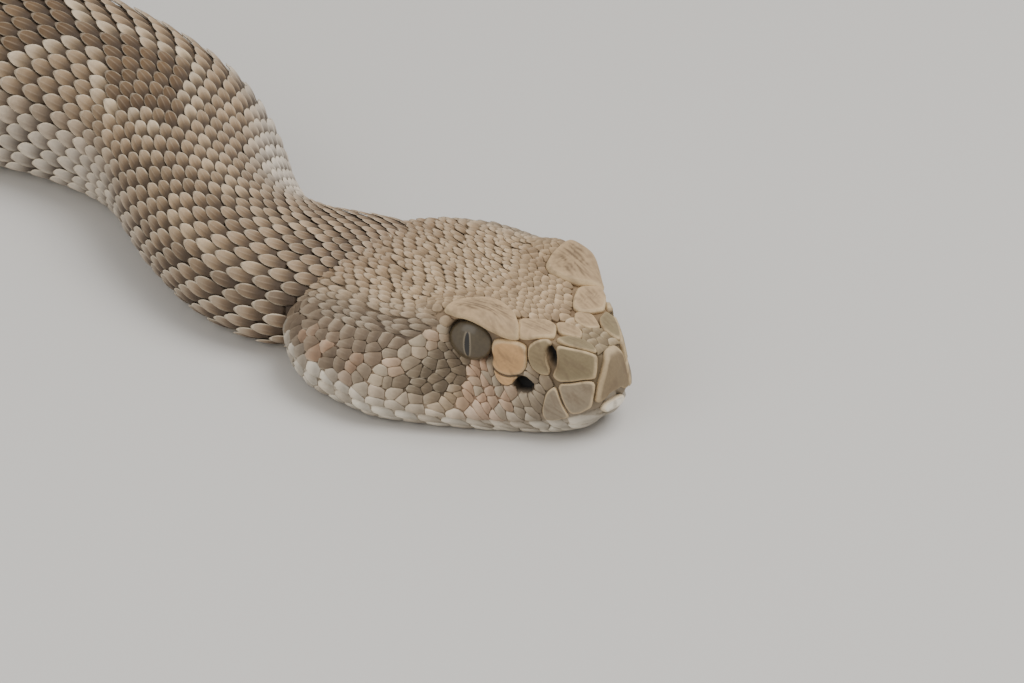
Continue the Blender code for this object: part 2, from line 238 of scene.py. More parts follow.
@dataclass
class Sections:
    """How far a form reaches from its middle, by section and by angle from level."""

    radii: Array
    middles: Array
    ANGLES = np.linspace(-math.pi / 2, math.pi / 2, 61)

    @classmethod
    def measure(cls, halves: Array) -> "Sections":
        """Measure half outlines.

        Args:
            halves: The outlines, (count, places, 2).

        Returns:
            Their sections.
        """
        middles = (halves[:, 0, 1] + halves[:, -1, 1]) / 2
        radii = []
        for half, middle in zip(halves, middles):
            angle = np.arctan2(half[:, 1] - middle, half[:, 0])[::-1]
            span = np.hypot(half[:, 1] - middle, half[:, 0])[::-1]
            radii.append(np.interp(cls.ANGLES, angle, span))
        return cls(np.array(radii), middles)

    def depth(self, row: Array, side: Array, height: Array) -> Array:
        """Return how deep points lie inside their sections.

        Args:
            row: Each point's section number.
            side: How far it is to either side.
            height: Its height.

        Returns:
            The depths, negative outside.
        """
        i = np.clip(np.round(row).astype(int), 0, len(self.radii) - 1)
        up = height - self.middles[i]
        turn = (np.arctan2(up, np.abs(side)) / math.pi + 0.5) * (len(self.ANGLES) - 1)
        j = np.clip(turn.astype(int), 0, len(self.ANGLES) - 2)
        f = turn - j
        radius = self.radii[i, j] * (1 - f) + self.radii[i, j + 1] * f
        return radius - np.hypot(side, up)


@dataclass(frozen=True)
class Pose:
    """Where the head stands on the floor, and how the pose frame meets the row frame."""

    yaw: float = math.radians(-43)
    nape: tuple[float, float] = (-36.0, 2.0)
    foot_centre: tuple[float, float] = (-54.8, 252.3)

    @property
    def ahead(self) -> Array:
        """The direction the head faces."""
        return np.array([math.cos(self.yaw), math.sin(self.yaw)])

    @property
    def left(self) -> Array:
        """The direction of the head's left."""
        return np.array([-math.sin(self.yaw), math.cos(self.yaw)])

    def from_head(self, points: Array) -> Array:
        """Turn head-frame points into the pose frame."""
        points = np.asarray(points, float)
        flat = points[..., 0:1] * self.ahead + points[..., 1:2] * self.left
        return np.concatenate([flat, points[..., 2:3]], axis=-1)

    def to_head(self, points: Array) -> Array:
        """Turn pose-frame points into the head frame."""
        flat = points[..., :2]
        return np.stack([flat @ self.ahead, flat @ self.left, points[..., 2]], axis=-1)

    def to_row(self, points: Array) -> Array:
        """Turn pose-frame millimetres into row-frame metres."""
        return (points - (*self.foot_centre, 0.0)) * MM


@dataclass
class HeadForm:
    """The head's outer form, by stations from the snout to the nape."""

    pose: Pose
    station: tuple = (0.0, 0.8, 2.5, 6.0, 10.0, 15.0, 20.0, 27.0, 34.0, 40.0, 44.0, 47.5, 50.0)
    crown_z: tuple = (12.6, 13.4, 13.9, 14.3, 14.9, 15.8, 16.0, 15.5, 14.8, 14.0, 13.2, 11.6, 8.5)
    ridge_y: tuple = (1.5, 2.3, 3.6, 5.8, 8.0, 11.2, 12.2, 12.4, 12.2, 11.0, 9.2, 7.0, 4.0)
    ridge_z: tuple = (12.1, 13.0, 13.7, 14.4, 15.3, 17.0, 16.6, 14.4, 13.4, 12.6, 11.6, 9.8, 7.5)
    cheek_y: tuple = (2.1, 3.3, 4.6, 6.3, 8.6, 11.3, 14.6, 18.6, 19.2, 17.4, 14.4, 10.5, 6.0)
    cheek_z: tuple = (9.2, 9.8, 10.0, 10.0, 10.0, 10.2, 10.2, 10.0, 9.6, 9.2, 8.6, 7.6, 6.0)
    lip_y: tuple = (2.7, 4.1, 5.8, 7.8, 10.3, 14.0, 17.3, 20.8, 21.2, 19.4, 16.6, 12.6, 7.0)
    lip_z: tuple = (6.0, 5.8, 5.2, 4.2, 3.6, 3.6, 4.0, 4.8, 5.6, 5.8, 5.4, 5.0, 4.5)
    jaw_y: tuple = (1.5, 2.5, 4.5, 6.6, 9.2, 12.9, 16.2, 19.6, 20.0, 18.2, 15.4, 11.6, 6.0)
    jaw_z: tuple = (4.8, 4.0, 2.8, 1.9, 1.6, 1.6, 1.6, 1.8, 2.0, 2.0, 2.0, 2.2, 3.0)
    chin_y: tuple = (0.8, 1.4, 2.8, 4.8, 7.0, 10.4, 13.2, 16.0, 16.2, 14.4, 12.0, 8.6, 4.0)
    chin_z: tuple = (4.6, 3.6, 2.0, 0.7, 0.1, 0.0, 0.0, 0.0, 0.0, 0.0, 0.0, 0.4, 2.4)
    mouth_drop: float = 1.2
    front_until: float = 8.0
    step: float = 0.25
    places: Array = field(default_factory=lambda: np.linspace(0, 7, 141))
    chart: Chart = field(init=False)
    sections: Sections = field(init=False)
    arcs: Array = field(init=False)

    def __post_init__(self) -> None:
        """Work out the chart, the sections and the arc of every row place."""
        u = np.arange(0, self.station[-1] + self.step / 2, self.step)
        halves = raised(outlines(self.corners(u), self.places), 0)
        origins = -u[:, None] * self.pose.ahead
        lefts = np.broadcast_to(self.pose.left, origins.shape)
        self.chart = Chart.loft(self.step, origins, lefts, halves, True)
        self.sections = Sections.measure(halves)
        self.arcs = arc_lengths(halves)

    def corners(self, u: Array) -> Array:
        """Return the eight rows of the half outline at stations u, (count, 8, 2)."""
        pairs = (
            (self.ridge_y, self.ridge_z), (self.cheek_y, self.cheek_z), (self.lip_y, self.lip_z),
            (self.jaw_y, self.jaw_z), (self.chin_y, self.chin_z),
        )
        rows = [[self.row(values, u) for values in pair] for pair in pairs]
        crown = self.row(self.crown_z, u)
        (ridge_y, ridge_z), chin_z = rows[0], rows[-1][1]
        nothing = np.zeros(len(u))
        rows = [(nothing, crown), (ridge_y / 2, 0.6 * crown + 0.4 * ridge_z), *rows, (nothing, chin_z)]
        return np.array(rows).transpose(2, 0, 1)

    def row(self, values: Sequence[float], u: Array) -> Array:
        """Read one of the tables at stations u."""
        return smooth_row(self.station, values, np.asarray(u, float))

    def arc(self, u: Array, place: Array) -> Array:
        """Return the distance from the crest, along the outline, of a row place."""
        u, place = np.broadcast_arrays(np.asarray(u, float), np.asarray(place, float))
        return read_grid(self.arcs[..., None], u / self.step, place / self.places[1])[..., 0]

    def mouth(self, u: Array) -> Array:
        """Return the distance of the line of the mouth from the crest."""
        drop = self.mouth_drop / (self.row(self.lip_z, u) - self.row(self.jaw_z, u))
        return self.arc(u, 4 + np.clip(drop, 0.1, 0.8))

    def depth(self, points: Array) -> Array:
        """Return how deep pose-frame points lie inside the head."""
        local = self.pose.to_head(points)
        u = -local[..., 0]
        inside = self.sections.depth(u / self.step, local[..., 1], local[..., 2])
        return np.minimum(inside, np.minimum(u + 1, self.station[-1] - u))

    def front(self, side: Array, height: Array) -> Array:
        """Find the snout's surface from in front.

        Args:
            side: Distances to the animal's left.
            height: Heights.

        Returns:
            The stations where the surface stands.
        """
        rows = np.arange(0, int(self.front_until / self.step))
        depth = np.array([self.sections.depth(np.full(side.shape, r), side, height) for r in rows])
        first = np.argmax(depth > 0, axis=0)
        before = np.maximum(first - 1, 0)
        d0 = np.take_along_axis(depth, before[None], 0)[0]
        d1 = np.take_along_axis(depth, first[None], 0)[0]
        share = np.where(first > 0, -d0 / np.maximum(d1 - d0, 1e-6), 0)
        return (before + share) * self.step


@dataclass
class BodyForm:
    """The body's outer form along one centre line from the nape to the end of the tail.

    Each leg of the line is its length and its turn in degrees.
    """

    pose: Pose
    legs: tuple = (
        (10, 38), (4, 0), (17, -60), (15, -10), (24, 36),
        (24, 24), (206, -183), (250, 222), (190, -224), (235, 178),
    )
    turn_ease: float = 0.3
    girth_at: tuple = (0, 10, 17, 27, 42, 62, 85, 200, 380, 600, 760, 880, 905, 975)
    half_width: tuple = (9.6, 11.6, 12.0, 11.0, 12.0, 13.2, 14.4, 16.6, 18.0, 17.6, 14.5, 10.6, 10.0, 6.6)
    height: tuple = (13.0, 14.5, 15.5, 17.5, 20.0, 22.0, 24.0, 27.0, 29.0, 28.5, 24.0, 17.5, 16.5, 11.5)
    corner_shares: tuple = ((0, 1), (0.48, 0.935), (0.86, 0.72), (1, 0.43), (0.88, 0.14), (0.58, 0), (0, 0))
    vent: float = 900.0
    tail_end: float = 975.0
    neck_until: float = 60.0
    step: float = 0.5
    line: Array = field(init=False)
    heading: Array = field(init=False)
    chart: Chart = field(init=False)
    sections: Sections = field(init=False)

    def __post_init__(self) -> None:
        """Lay out the centre line and work out the chart and the sections."""
        self.line, self.heading = self.route()
        u = np.arange(len(self.line)) * self.step
        size = np.stack([smooth_row(self.girth_at, row, u) for row in (self.half_width, self.height)], -1)
        corners = np.array(self.corner_shares)[None] * size[:, None]
        halves = raised(outlines(corners, np.linspace(0, len(self.corner_shares) - 1, 97)), 0)
        lefts = np.column_stack([np.sin(self.heading), -np.cos(self.heading)])
        self.chart = Chart.loft(self.step, self.line, lefts, halves, False)
        self.sections = Sections.measure(halves)

    def route(self) -> tuple[Array, Array]:
        """Return the points and headings, in radians, of the centre line."""
        point = self.pose.from_head(np.array([*self.pose.nape, 0.0]))[:2]
        heading = math.degrees(self.pose.yaw) + 180
        points, headings = [point], [heading]
        for length, turn in self.legs:
            count = round(length / self.step)
            share = np.arange(count + 1) / count
            turned = turn * (share - self.turn_ease * np.sin(2 * np.pi * share) / (2 * np.pi))
            middles = np.radians(heading + (turned[1:] + turned[:-1]) / 2)
            steps = np.column_stack([np.cos(middles), np.sin(middles)]) * self.step
            for step, after in zip(steps, turned[1:]):
                points.append(points[-1] + step)
                headings.append(heading + after)
            heading += turn
        return np.array(points), np.radians(np.array(headings))

    def depth(self, points: Array) -> Array:
        """Return how deep pose-frame points lie inside the neck.

        Args:
            points: The points, (count, 3).

        Returns:
            The depth of each point, negative outside.
        """
        line = self.line[: int(self.neck_until / self.step)]
        gap = points[:, None, :2] - line[None]
        row = np.argmin((gap**2).sum(axis=2), axis=1)
        heading = self.heading[row]
        offset = points[:, :2] - line[row]
        side = offset[:, 0] * np.sin(heading) - offset[:, 1] * np.cos(heading)
        along = offset[:, 0] * np.cos(heading) + offset[:, 1] * np.sin(heading)
        inside = self.sections.depth(row, side, points[:, 2])
        return np.where((row == 0) & (along < 0), along, inside)


class Tone(Enum):
    """The named tones of the animal and of its painted shade, as display colours from 0 to 255."""

    GROUND = (154, 128, 98)
    FLANK = (124, 106, 89)
    LOW_FLANK = (206, 196, 182)
    DIAMOND = (88, 66, 43)
    DIAMOND_HEART = (118, 94, 67)
    RIM = (208, 186, 152)
    SMUDGE = (110, 92, 74)
    BELLY = (214, 206, 190)
    NAPE = (146, 120, 93)
    CROWN = (184, 157, 122)
    CROWN_DUST = (144, 118, 90)
    TEMPLE = (172, 150, 123)
    CHEEK_DARK = (102, 90, 72)
    CHEEK_REAR = (126, 109, 90)
    STRIPE = (190, 175, 152)
    PINK = (188, 148, 118)
    LIP = (230, 222, 206)
    SNOUT = (132, 119, 91)
    LIP_GREY = (142, 129, 110)
    ROSTRAL = (132, 115, 90)
    PREOCULAR = (202, 158, 108)
    PLATE_EDGE = (206, 183, 146)
    STREAK = (98, 80, 60)
    # Painted shade round the nostrils.
    STAIN = (84, 60, 38)
    # Near-black painted shade inside the heat pits and nostrils.
    PIT = (26, 17, 13)
    TAIL_DARK = (44, 40, 38)
    TAIL_LIGHT = (192, 187, 178)

    def linear(self) -> Array:
        """Return the tone as linear light."""
        shown = np.array(self.value) / 255
        return np.where(shown <= 0.04045, shown / 12.92, ((shown + 0.055) / 1.055) ** 2.4)


def painted(base: Array, *coats: tuple[Tone | Array, Array]) -> Array:
    """Lay tones over colours one after another.

    Args:
        base: One linear colour or many, (..., 3).
        coats: Each a tone or colours, and how much of it there is at each place.

    Returns:
        Linear colours, (..., 3).
    """
    for tone, share in coats:
        over = tone.linear() if isinstance(tone, Tone) else tone
        share = np.clip(share, 0, 1)[..., None]
        base = base * (1 - share) + over * share
    return base


def ripple(u: Array, v: Array, seed: float) -> Array:
    """Return a smooth irregular wave of two places, from about -1 to 1."""
    a = np.sin(0.9 * u + 2.1 * np.sin(0.53 * v + seed) + seed)
    b = np.sin(1.3 * v - 1.7 * np.sin(0.41 * u - seed) + 2 * seed)
    c = np.sin(2.3 * u + 1.9 * v + 3 * seed)
    return (a + b + 0.6 * c) / 2.6


def shaded(colour: Array, shade: Array, tip: Array) -> Array:
    """Return colours times a shade, with how pale each scale's tip is as a fourth number."""
    tip = np.broadcast_to(tip, shade.shape)
    return np.concatenate([np.clip(colour * shade[..., None], 0, 1), tip[..., None]], axis=-1)


@dataclass(frozen=True)
class BodyMarks:
    """The diamonds down the back, the smudges of the flanks and the rings of the tail."""

    form: BodyForm
    first: float = 57.0
    pitch: float = 26.5
    half_width: float = 7.8
    tail_rings: float = 5.5

    def lean(self, u: Array) -> Array:
        """Return how far the pattern is rolled over towards the animal's right."""
        return smooth_row((0, 15, 28, 45, 60, 90, 220, 975), (0, -0.16, -0.2, -0.12, -0.1, -0.14, 0, 0), u)

    def tint(self, u: Array, q: Array, luck: Array) -> Array:
        """Return the colour of the skin at places (u, q).

        Args:
            u: Distances from the nape.
            q: Shares of the half girth.
            luck: A random number from 0 to 1 for each place.

        Returns:
            Linear colours and how pale each tip is, (count, 4).
        """
        off = q - self.lean(u)
        girth = self.form.chart.girth(u)
        across = np.abs(off) * girth
        low = ease(0.26, 0.5, np.abs(off))
        near = ease(0.33, 0.62, np.abs(q)) * (0.12 + 0.88 * ease(28, 58, u))
        far = ease(0.32, 0.53, q - 1.5 * self.lean(u)) * ease(12, 22, u)
        colour = painted(
            Tone.GROUND.linear(),
            (Tone.FLANK, low),
            (Tone.LOW_FLANK, 0.9 * np.maximum(near, far)),
            (Tone.NAPE, 1 - ease(4, 34, u)),
        )
        phase = (u - self.first) / self.pitch
        beat = np.abs(phase - np.round(phase)) * 2
        size = self.half_width * (0.8 + 0.4 * ease(80, 330, u)) * (1 - 0.35 * ease(700, 900, u))
        size = size * girth / np.interp(u, (0, 80, 400), (40, 42, 52))
        edge = size * (1.02 - 0.92 * beat**1.3) + 1.1 * (luck - 0.5)
        edge = np.where(u < 42, -9, edge)
        inside = ease(-0.2, 0.8, edge - across)
        heart = ease(1.6, 3.4, edge - across) * (1 - ease(0.25, 0.7, beat))
        border = bell(edge - across + 1.1, 1.15) * (1 - inside) * ease(40, 48, u)
        colour = painted(
            colour,
            (Tone.DIAMOND, inside * (0.7 + 0.3 * luck)),
            (Tone.DIAMOND_HEART, heart * 0.7),
            (Tone.RIM, border * (0.25 + 0.5 * luck)),
        )
        colour = self.neck(colour, u, off, girth, luck)
        colour = self.flank(colour, phase, q, girth, luck)
        shade = 1 + 0.42 * (luck - 0.5) + 0.1 * ripple(u / 3, q * girth / 2, 1.3)
        tip = 0.2 + 0.35 * luck + 0.8 * border + 0.5 * ease(0.4, 0.6, np.abs(q)) - 0.35 * inside
        tip = tip * (1 - ease(self.form.vent - 10, self.form.vent, u))
        return shaded(self.tail(colour, u, luck), shade, np.clip(tip, 0, 1))

    def neck(self, colour: Array, u: Array, off: Array, girth: Array, luck: Array) -> Array:
        """Add the small spots along the neck, before the first diamond."""
        near = 1 - ease(38, 46, u)
        along = (u - 5.0) / 5.6
        beat = (along - np.round(along)) * 5.6
        spot = bell(np.hypot(beat / 1.9, off * girth / 1.5), 1.0)
        side = bell(np.hypot((beat - 1.0) / 2.4, (np.abs(off) * girth - 8.0) / 2.2), 1.0)
        pale = bell((np.abs(off) * girth - 4.2) / 1.3, 1.0) * ease(10, 20, u) * 0.35 * luck
        coats = (Tone.DIAMOND, near * spot * 0.7), (Tone.SMUDGE, near * side * 0.65), (Tone.RIM, near * pale)
        return painted(colour, *coats)

    def flank(self, colour: Array, phase: Array, q: Array, girth: Array, luck: Array) -> Array:
        """Add the smaller smudges of the flanks, between and below the diamonds."""
        between = np.abs(phase + 0.5 - np.round(phase + 0.5)) * self.pitch
        below = np.abs(phase - np.round(phase)) * self.pitch
        upper = bell(np.hypot(between / 4.0, (np.abs(q) - 0.42) * girth / 2.8), 1.0)
        lower = bell(np.hypot(below / 4.5, (np.abs(q) - 0.6) * girth / 2.4), 1.0)
        share = (0.55 * upper + 0.4 * lower) * (0.55 + 0.45 * luck)
        return painted(colour, (Tone.SMUDGE, share))

    def tail(self, colour: Array, u: Array, luck: Array) -> Array:
        """Add the black and white rings of the tail."""
        start = self.form.vent + 3
        turn = (u - start) / (self.form.tail_end - start) * self.tail_rings
        dark = ease(0.42, 0.5, np.abs(turn - np.round(turn)) * 2 + 0.06 * (luck - 0.5))
        here = ease(start - 4, start + 1, u)
        return painted(colour, (Tone.TAIL_LIGHT, here), (Tone.TAIL_DARK, here * dark))


@dataclass(frozen=True)
class HeadMarks:
    """The dusty crown, the dark cheek between its two pale stripes, and the pale lips."""

    form: HeadForm
    stripe_from: tuple[float, float] = (18.4, 14.6)
    stripe_slope: float = 1.33

    def tint(self, u: Array, v: Array, luck: Array) -> Array:
        """Return the colour of the head's skin.

        Args:
            u: Distances from the snout.
            v: Distances from the crest.
            luck: A random number from 0 to 1 for each place.

        Returns:
            Linear colours and how pale each tip is, (count, 4).
        """
        v = np.abs(v)
        mouth = self.form.mouth(u)
        colour = painted(
            Tone.CROWN.linear(),
            (Tone.NAPE, ease(22, 47, u)),
            (Tone.CROWN_DUST, 0.6 * ease(0.0, 0.9, ripple(u / 1.3, v / 1.3, 0.4))),
            (Tone.SNOUT, ease(8, 3, u) * 0.7),
            (Tone.TEMPLE, ease(9.5, 13, v) * ease(14, 20, u) * 0.8),
            (Tone.LIP_GREY, ease(9, 13, v) * ease(16, 12, u) * 0.9),
        )
        away = (v - self.stripe_from[1]) - self.stripe_slope * (u - self.stripe_from[0])
        away = away / math.hypot(1, self.stripe_slope)
        side = ease(12.5, 15.5, v)
        front = ease(13.2, 15.0, u - 0.3 * (v - 18))
        dark = side * ease(0.3, 1.6, away) * front * (1 - ease(-3.7, -1.9, v - mouth))
        wide = 1.1 + 0.5 * ease(19, 24, v)
        stripe = bell((away + 0.2) / wide, 1.0) * ease(13.5, 15, v) * (1 - ease(-2.5, -0.5, v - mouth))
        colour = painted(
            colour,
            (Tone.CHEEK_REAR, side * ease(0.2, 1.5, -away)),
            (Tone.CHEEK_DARK, dark * (0.75 + 0.25 * luck)),
            (Tone.STRIPE, stripe * 0.85),
            (Tone.PINK, stripe * ease(0.4, 0.7, luck) * 0.5),
        )
        return self.lips(colour, u, v, mouth, luck)

    def lips(self, colour: Array, u: Array, v: Array, mouth: Array, luck: Array) -> Array:
        """Add the pale lips, the pink scales behind the pit and the cream throat, with painted shade on the
        front of the lower lip.
        """
        low = v - mouth
        ahead = side_band(u, 9.6, 15.0, 1.2) * ease(14.5, 17, v) * (1 - ease(-0.6, 0.4, low))
        back = side_band(u, 24, 40, 3) * bell(low + 4.4, 1.8)
        behind = 0.4 + 0.6 * ease(12, 26, u)
        grey = ease(0, 0.7, ripple(u * 1.4, v * 1.7, 2.2)) * ease(-4, 1, low)
        colour = painted(
            colour,
            (Tone.STRIPE, ahead * 0.45),
            (Tone.PINK, ahead * ease(0.3, 0.6, luck) * 0.75),
            (Tone.PINK, back * ease(0.35, 0.7, luck) * 0.6),
            (Tone.LIP, ease(-3.6, -0.6, low) * (0.5 + 0.4 * luck) * behind),
            # Painted shade: the pale lower lip is dimmed towards the snout, as if shaded under the snout's
            # front.
            (Tone.LIP, ease(-0.3, 0.6, low) * (0.6 + 0.3 * ease(5, 14, u))),
            (Tone.BELLY, ease(0.6, 3, low)),
            (Tone.TEMPLE, grey * 0.35),
        )
        shade = 1 + (0.32 - 0.12 * ease(12.5, 15.5, v)) * (luck - 0.5)
        return shaded(colour, shade, 0.1 + 0.35 * luck)


def side_band(value: Array, low: float, high: float, soft: float) -> Array:
    """Return 1 between low and high, with soft ends."""
    return ease(low - soft, low + soft, value) * (1 - ease(high - soft, high + soft, value))


def place_object(name: str, data: bpy.types.ID) -> bpy.types.Object:
    """Put a mesh, light or camera into the scene."""
    holder = bpy.data.objects.new(name, data)
    bpy.context.scene.collection.objects.link(holder)
    return holder


@dataclass
class MeshPile:
    """Points, faces and values of one piece, gathered before its mesh is made."""

    points: list = field(default_factory=list)
    faces: list = field(default_factory=list)
    tints: list = field(default_factory=list)
    grains: list = field(default_factory=list)
    places: list = field(default_factory=list)
    count: int = 0

    def add(self, points: Array, faces: Sequence[Array], tint: Array, grain: Array, place: Array) -> None:
        """Add many copies of one net of faces.

        Args:
            points: Pose-frame points, (copies, net, 3).
            faces: The net's faces, arrays of three or four columns.
            tint: Linear colours and how pale each tip is, (copies, net, 4).
            grain: Place along, place across and luck, (copies, net, 3).
            place: The coat map's places, (copies, net, 2).
        """
        copies, net = points.shape[:2]
        starts = self.count + np.arange(copies)[:, None, None] * net
        for group in faces:
            self.faces.append((group[None] + starts).reshape(-1, group.shape[1]))
        kinds = ((self.points, points), (self.tints, tint), (self.grains, grain), (self.places, place))
        for rows, values in kinds:
            numbers = values.shape[-1]
            rows.append(np.broadcast_to(values, (copies, net, numbers)).reshape(-1, numbers))
        self.count += copies * net

    def add_tube(self, points: Array, tint: Array, grain: Array, flipped: bool) -> None:
        """Add a tube through rings of points, closed by a point in the middle of either end.

        Args:
            points: Pose-frame points, (rings, sides, 3).
            tint: Linear colours and how pale each tip is, (rings, sides, 4).
            grain: Place along, place across and luck, (rings, sides, 3).
            flipped: Whether the rings run the other way round.
        """
        middles = np.stack([points[0].mean(axis=0), points[-1].mean(axis=0)])
        flat = np.concatenate([points.reshape(-1, 3), middles])
        values = []
        for rows, numbers in ((tint, 4), (grain, 3)):
            rows = np.broadcast_to(rows, (*points.shape[:2], numbers))
            values.append(np.concatenate([rows.reshape(-1, numbers), rows[0, :1], rows[-1, :1]])[None])
        self.add(flat[None], tube_faces(*points.shape[:2], flipped), *values, np.zeros((1, 1, 2)))

    def build(
        self, name: str, pose: Pose, finish: Material, slot: str, mapped: bool
    ) -> bpy.types.Object:
        """Make the object.

        Args:
            name: The piece's name.
            pose: The pose, which places the points in the row frame.
            finish: The material.
            slot: A material slot's name, which is not used.
            mapped: Whether the piece carries the coat map.

        Returns:
            The new object, riding on the body.
        """
        points = pose.to_row(np.concatenate(self.points))
        corners = np.concatenate([group.ravel() for group in self.faces])
        sizes = np.concatenate([np.full(len(group), group.shape[1]) for group in self.faces])
        mesh = bpy.data.meshes.new(name)
        mesh.vertices.add(len(points))
        mesh.vertices.foreach_set("co", points.astype(np.float32).ravel())
        mesh.loops.add(len(corners))
        mesh.loops.foreach_set("vertex_index", corners.astype(np.int32))
        mesh.polygons.add(len(sizes))
        mesh.polygons.foreach_set("loop_start", (np.cumsum(sizes) - sizes).astype(np.int32))
        mesh.polygons.foreach_set("loop_total", sizes.astype(np.int32))
        mesh.polygons.foreach_set("use_smooth", np.ones(len(sizes), bool))
        mesh.update(calc_edges=True)
        for label, rows in (("tint", self.tints), ("grain", self.grains)):
            values = np.concatenate(rows)
            if values.shape[1] == 3:
                values = np.column_stack([values, np.ones(len(values))])
            layer = mesh.attributes.new(label, "FLOAT_COLOR", "POINT")
            layer.data.foreach_set("color", values.astype(np.float32).ravel())
        if mapped:
            layer = mesh.uv_layers.new(name=COAT_MAP)
            places = np.concatenate(self.places)[corners]
            layer.data.foreach_set("uv", places.astype(np.float32).ravel())
        mesh.materials.append(finish)
        piece = place_object(name, mesh)
        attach(piece, BODY)
        LOG.info("%s: %d triangles", name, (sizes - 2).sum())
        return piece


class Wire:
    """A number on a socket, so that shader maths reads as plain expressions."""

    def __init__(self, board: "Board", socket: Socket) -> None:
        """Keep the board and the socket."""
        self.board = board
        self.socket = socket

    def math(self, operation: str, a: object, b: object) -> "Wire":
        """Add one Math node."""
        made = self.board.node("ShaderNodeMath", {"operation": operation}, {0: a, 1: b})
        return Wire(self.board, made.outputs[0])

    def __add__(self, other: object) -> "Wire":
        """Add."""
        return self.math("ADD", self, other)

    __radd__ = __add__

    def __sub__(self, other: object) -> "Wire":
        """Take away."""
        return self.math("SUBTRACT", self, other)

    def __rsub__(self, other: object) -> "Wire":
        """Take this away from a number."""
        return self.math("SUBTRACT", other, self)

    def __mul__(self, other: object) -> "Wire":
        """Multiply."""
        return self.math("MULTIPLY", self, other)

    __rmul__ = __mul__

    def step(self, low: float, high: float) -> "Wire":
        """Return a smooth step from 0 at low to 1 at high."""
        settings = {"interpolation_type": "SMOOTHSTEP"}
        inputs = {"Value": self, "From Min": low, "From Max": high}
        return Wire(self.board, self.board.node("ShaderNodeMapRange", settings, inputs).outputs[0])


class Board:
    """The node board of one material."""

    def __init__(self, name: str) -> None:
        """Make the material with an empty board and one Principled shader."""
        self.material = bpy.data.materials.new(name)
        self.material.use_nodes = True
        self.tree = self.material.node_tree
        self.tree.nodes.clear()
        self.shader = self.tree.nodes.new("ShaderNodeBsdfPrincipled")
        output = self.tree.nodes.new("ShaderNodeOutputMaterial")
        self.tree.links.new(self.shader.outputs[0], output.inputs[0])

    def node(self, kind: str, settings: dict, inputs: dict) -> bpy.types.Node:
        """Add a node.

        Args:
            kind: The node's type.
            settings: Its settings by name, set first.
            inputs: Values, wires or sockets by input name or number.

        Returns:
            The node.
        """
        made = self.tree.nodes.new(kind)
        for name, value in settings.items():
            setattr(made, name, value)
        for name, value in inputs.items():
            self.feed(made.inputs[name], value)
        return made

    def feed(self, socket: Socket, value: object) -> None:
        """Give a socket its value or its link."""
        if isinstance(value, Wire):
            self.tree.links.new(value.socket, socket)
        elif isinstance(value, Socket):
            self.tree.links.new(value, socket)
        else:
            socket.default_value = value

    def attribute(self, name: str) -> Socket:
        """Return the colour of a mesh attribute."""
        return self.node("ShaderNodeAttribute", {"attribute_name": name}, {}).outputs["Color"]

    def parts(self, colour: Socket) -> tuple[Wire, Wire, Wire]:
        """Split a colour into its three numbers."""
        made = self.node("ShaderNodeSeparateColor", {}, {0: colour})
        return tuple(Wire(self, socket) for socket in made.outputs)

    def noise(self, scale: float, detail: float = 3.0) -> Wire:
        """Return noise over the object, from about 0 to 1."""
        place = self.node("ShaderNodeTexCoord", {}, {}).outputs["Object"]
        inputs = {"Vector": place, "Scale": scale, "Detail": detail}
        return Wire(self, self.node("ShaderNodeTexNoise", {}, inputs).outputs[0])

    def mix(self, a: object, b: object, share: object, mode: str = "MIX") -> Socket:
        """Mix two colours by share."""
        settings = {"data_type": "RGBA", "blend_type": mode}
        return self.node("ShaderNodeMix", settings, {0: share, 6: a, 7: b}).outputs[2]

    def layers(self, base: object, coats: Sequence[tuple[Colour, Wire]]) -> Socket:
        """Lay colours over a base one after another, each by its share."""
        for colour, share in coats:
            base = self.mix(base, colour, share)
        return base

    def finish(self, **inputs: object) -> Material:
        """Feed the shader's inputs, named with underscores, and return the material."""
        for name, value in inputs.items():
            self.feed(self.shader.inputs[name.replace("_", " ").title()], value)
        return self.material

    def bump(self, height: Wire, distance: float) -> Socket:
        """Return a normal raised by a height, in metres at full height."""
        return self.node("ShaderNodeBump", {}, {"Height": height, "Distance": distance}).outputs[0]


